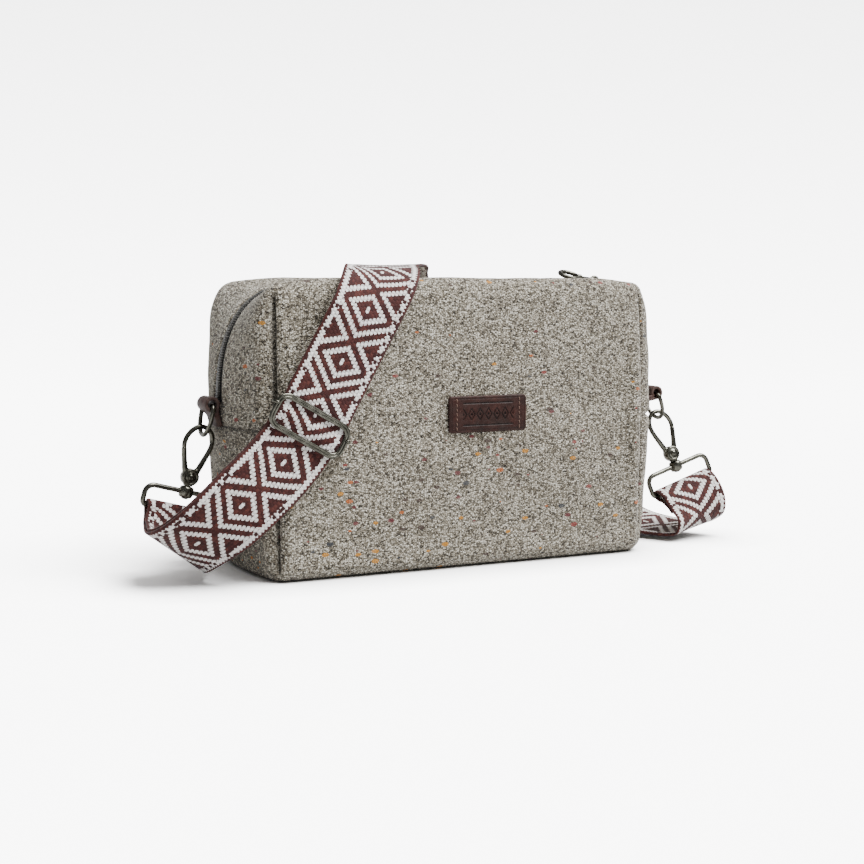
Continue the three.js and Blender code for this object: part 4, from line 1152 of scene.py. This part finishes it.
def fix_winding(made):
    """Turns every face outwards."""
    import bmesh
    work = bmesh.new()
    work.from_mesh(made.data)
    bmesh.ops.recalc_face_normals(work, faces=work.faces)
    work.to_mesh(made.data)
    work.free()


def stacked(*runs):
    return [np.vstack(parts) for parts in zip(*runs)]


def build_strap():
    centre, across, face = outer_ply()
    gone = arc_lengths(centre)
    at_top = gone[np.argmin(np.linalg.norm(centre - RUN_TOP, axis=1))]
    # The webbing swells between the adjuster's long bars and is pinched under each of them.
    up_run = (centre - ADJUSTER_AT) @ RUN_UP
    near_run = (np.abs(centre[:, 1] - STRAP_Y) < mm(0.6)) & (np.abs(up_run) < mm(30))
    swell = mm(1.5) * np.exp(-(up_run / mm(4.4)) ** 2) - mm(0.25) * np.exp(-((np.abs(up_run) - mm(8.6)) / mm(2)) ** 2)
    centre = centre + face * (swell * near_run)[:, None]
    tail = [part[::-1] for part in inner_ply(centre, across, face, mm(24))]
    right_bend = [part[::-1] for part in bend_round(RIGHT_BAR, -1)]
    left_bend = bend_round(LEFT_BAR, 1)
    backwards = [part[::-1] for part in (centre, across, face)]
    to_adjuster = arc_lengths(backwards[0])[np.argmin(np.linalg.norm(backwards[0] - ADJUSTER_AT, axis=1))]
    returned = inner_ply(*backwards, to_adjuster - mm(3))
    hand_over = np.searchsorted(arc_lengths(returned[0]), mm(30))
    first_return = [part[:hand_over + 1] for part in returned]
    rest_return = [part[hand_over:] for part in returned]
    whole = stacked(tail, right_bend, (centre, across, face), left_bend, first_return)
    before = arc_lengths(np.vstack([tail[0], right_bend[0], centre[:1]]))[-1]
    u_start = -(before + at_top + PATTERN_START)
    strap = band("strap_band", *whole, u_start)
    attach(strap, "strap")
    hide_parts("strap_webbing")
    length = arc_lengths(whole[0])[-1]
    second = band("strap_return_ply", *rest_return, u_start + length)
    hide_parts("strap_return_end")
    tuple(rest_return[0][0])
    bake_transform(second)


def adjuster_place(x, y, z):
    """Across the strap, out towards the viewer's side, and up the strap, from the adjuster's middle."""
    return ADJUSTER_AT + RUN_ACROSS * x + np.array([0, -1, 0]) * y + RUN_UP * z


def build_adjuster():
    """A rounded wire frame with a doubled line, and a centre bar curled round its short sides."""
    wires = []
    for grow, lift in ((-0.7, 2.3), (0.7, 2.3)):
        outline = rounded_rectangle(mm(21.4 + grow), mm(8.4 + grow), mm(5.2 + grow), steps=8)
        outline = resampled(np.vstack([outline, outline[:1]]), 110, closed=True)
        wires.append(tube([adjuster_place(x, mm(lift), z) for x, z in outline], mm(0.92), closed=True, sides=12))
    metal_piece("adjuster_wire", wires, "adjuster", "adjuster_frame")
    reach = 23.5
    right = [(8, -3.2), (reach - 3.4, -3.0), (reach - 0.9, -1.8), (reach, 0.4), (reach - 0.2, 2.6), (reach - 1.4, 3.6)]
    line = [(-x, y) for x, y in reversed(right)] + right
    bar = tube(spline([adjuster_place(mm(x), mm(y), mm(2.5)) for x, y in line], 70), mm(0.95))
    metal_piece("adjuster_centre_bar", [bar], "adjuster", "adjuster_bar")


body = build_body()
build_padding()
build_zip()
build_slider()
build_pull()
build_label()
for one_side in SIDES:
    build_loop(one_side)
    build_ring(one_side)
    build_bail(one_side)
    build_hook(one_side)
build_strap()
build_adjuster()

# ---------------------------------------------------------------- camera, floor and light
CAMERA_PLACE = (-0.407741, -0.807701, 0.159041)
CAMERA_YAW = math.radians(26.73)
CAMERA_PITCH = math.radians(5.553)
CAMERA_LENS = 66.18


def build_camera():
    data = bpy.data.cameras.new("camera")
    data.lens = CAMERA_LENS
    data.sensor_width = 36
    camera = bpy.data.objects.new("camera", data)
    camera.location = CAMERA_PLACE
    camera.rotation_euler = (math.pi / 2 - CAMERA_PITCH, 0, -CAMERA_YAW)
    bpy.context.scene.collection.objects.link(camera)
    bpy.context.scene.camera = camera


def backdrop_material():
    """Matt white that looks brighter to the camera than the light it throws back, like an overlit sweep.

    The gain fades with ambient occlusion where something stands close, which paints contact shadow there on top of the
    lit shading.
    """
    s = Shader("backdrop")
    to_camera = s.node("ShaderNodeLightPath").outputs["Is Camera Ray"]
    openness = s.node("ShaderNodeAmbientOcclusion", {"Distance": CONTACT_REACH}).outputs["AO"]
    # Painted contact shadow: ambient occlusion near the bag and strap cuts the camera's gain.
    gain = s.math("MULTIPLY", to_camera, s.math("POWER", openness, 1.6))
    strength = s.math("MULTIPLY_ADD", gain, FLOOR_GAIN - FLOOR_WHITE, FLOOR_WHITE)
    colour = s.node("ShaderNodeCombineColor", {"Red": strength, "Green": strength, "Blue": strength}).outputs[0]
    matt = s.node("ShaderNodeBsdfDiffuse", {"Color": colour}).outputs[0]
    s.feed(s.tree.nodes["Material Output"].inputs["Surface"], matt)
    s.tree.nodes.remove(s.principled)
    return s.material


FLOOR_GAIN = 3.6
FLOOR_WHITE = 0.6
CONTACT_REACH = mm(45)


def build_floor():
    """A pale seamless sweep: flat under the bag, curving up far behind it."""
    material = backdrop_material()
    profile = [(-6, 0), (1.6, 0)]
    profile += [(1.6 + 1.5 * math.sin(t), 1.5 - 1.5 * math.cos(t)) for t in np.linspace(0.1, math.pi / 2, 16)]
    profile += [(3.1, 6)]
    right = Vector((math.cos(CAMERA_YAW), -math.sin(CAMERA_YAW), 0))
    forward = Vector((math.sin(CAMERA_YAW), math.cos(CAMERA_YAW), 0))
    verts = [right * side + forward * run + Vector((0, 0, rise)) for run, rise in profile for side in (-8, 8)]
    floor = new_object("backdrop", verts, grid_faces(len(profile), 2), material)


ROOM_STRENGTH = 0.21
KEY_AROUND = math.radians(52)  # to the right of straight in front
KEY_UP = math.radians(60)
KEY_STRENGTH = 7.7
KEY_BREADTH = math.radians(44)


def broad_light(name, around, up, strength, breadth):
    """A distant soft light that looks this wide across the sky; it lights floor and backdrop evenly."""
    data = bpy.data.lights.new(name, "SUN")
    data.energy = strength
    data.angle = breadth
    light = bpy.data.objects.new(name, data)
    source = Vector((math.cos(up) * math.sin(around), -math.cos(up) * math.cos(around), math.sin(up)))
    light.rotation_euler = source.to_track_quat("Z", "Y").to_euler()
    bpy.context.scene.collection.objects.link(light)


def build_light():
    """A dim even room and one very broad light, high on the right of the bag's front."""
    world = bpy.data.worlds.new("studio")
    world.use_nodes = True
    background = world.node_tree.nodes["Background"]
    background.inputs["Color"].default_value = (1, 1, 1, 1)
    background.inputs["Strength"].default_value = ROOM_STRENGTH
    bpy.context.scene.world = world
    broad_light("key", KEY_AROUND, KEY_UP, KEY_STRENGTH, KEY_BREADTH)


build_camera()
build_floor()
build_light()
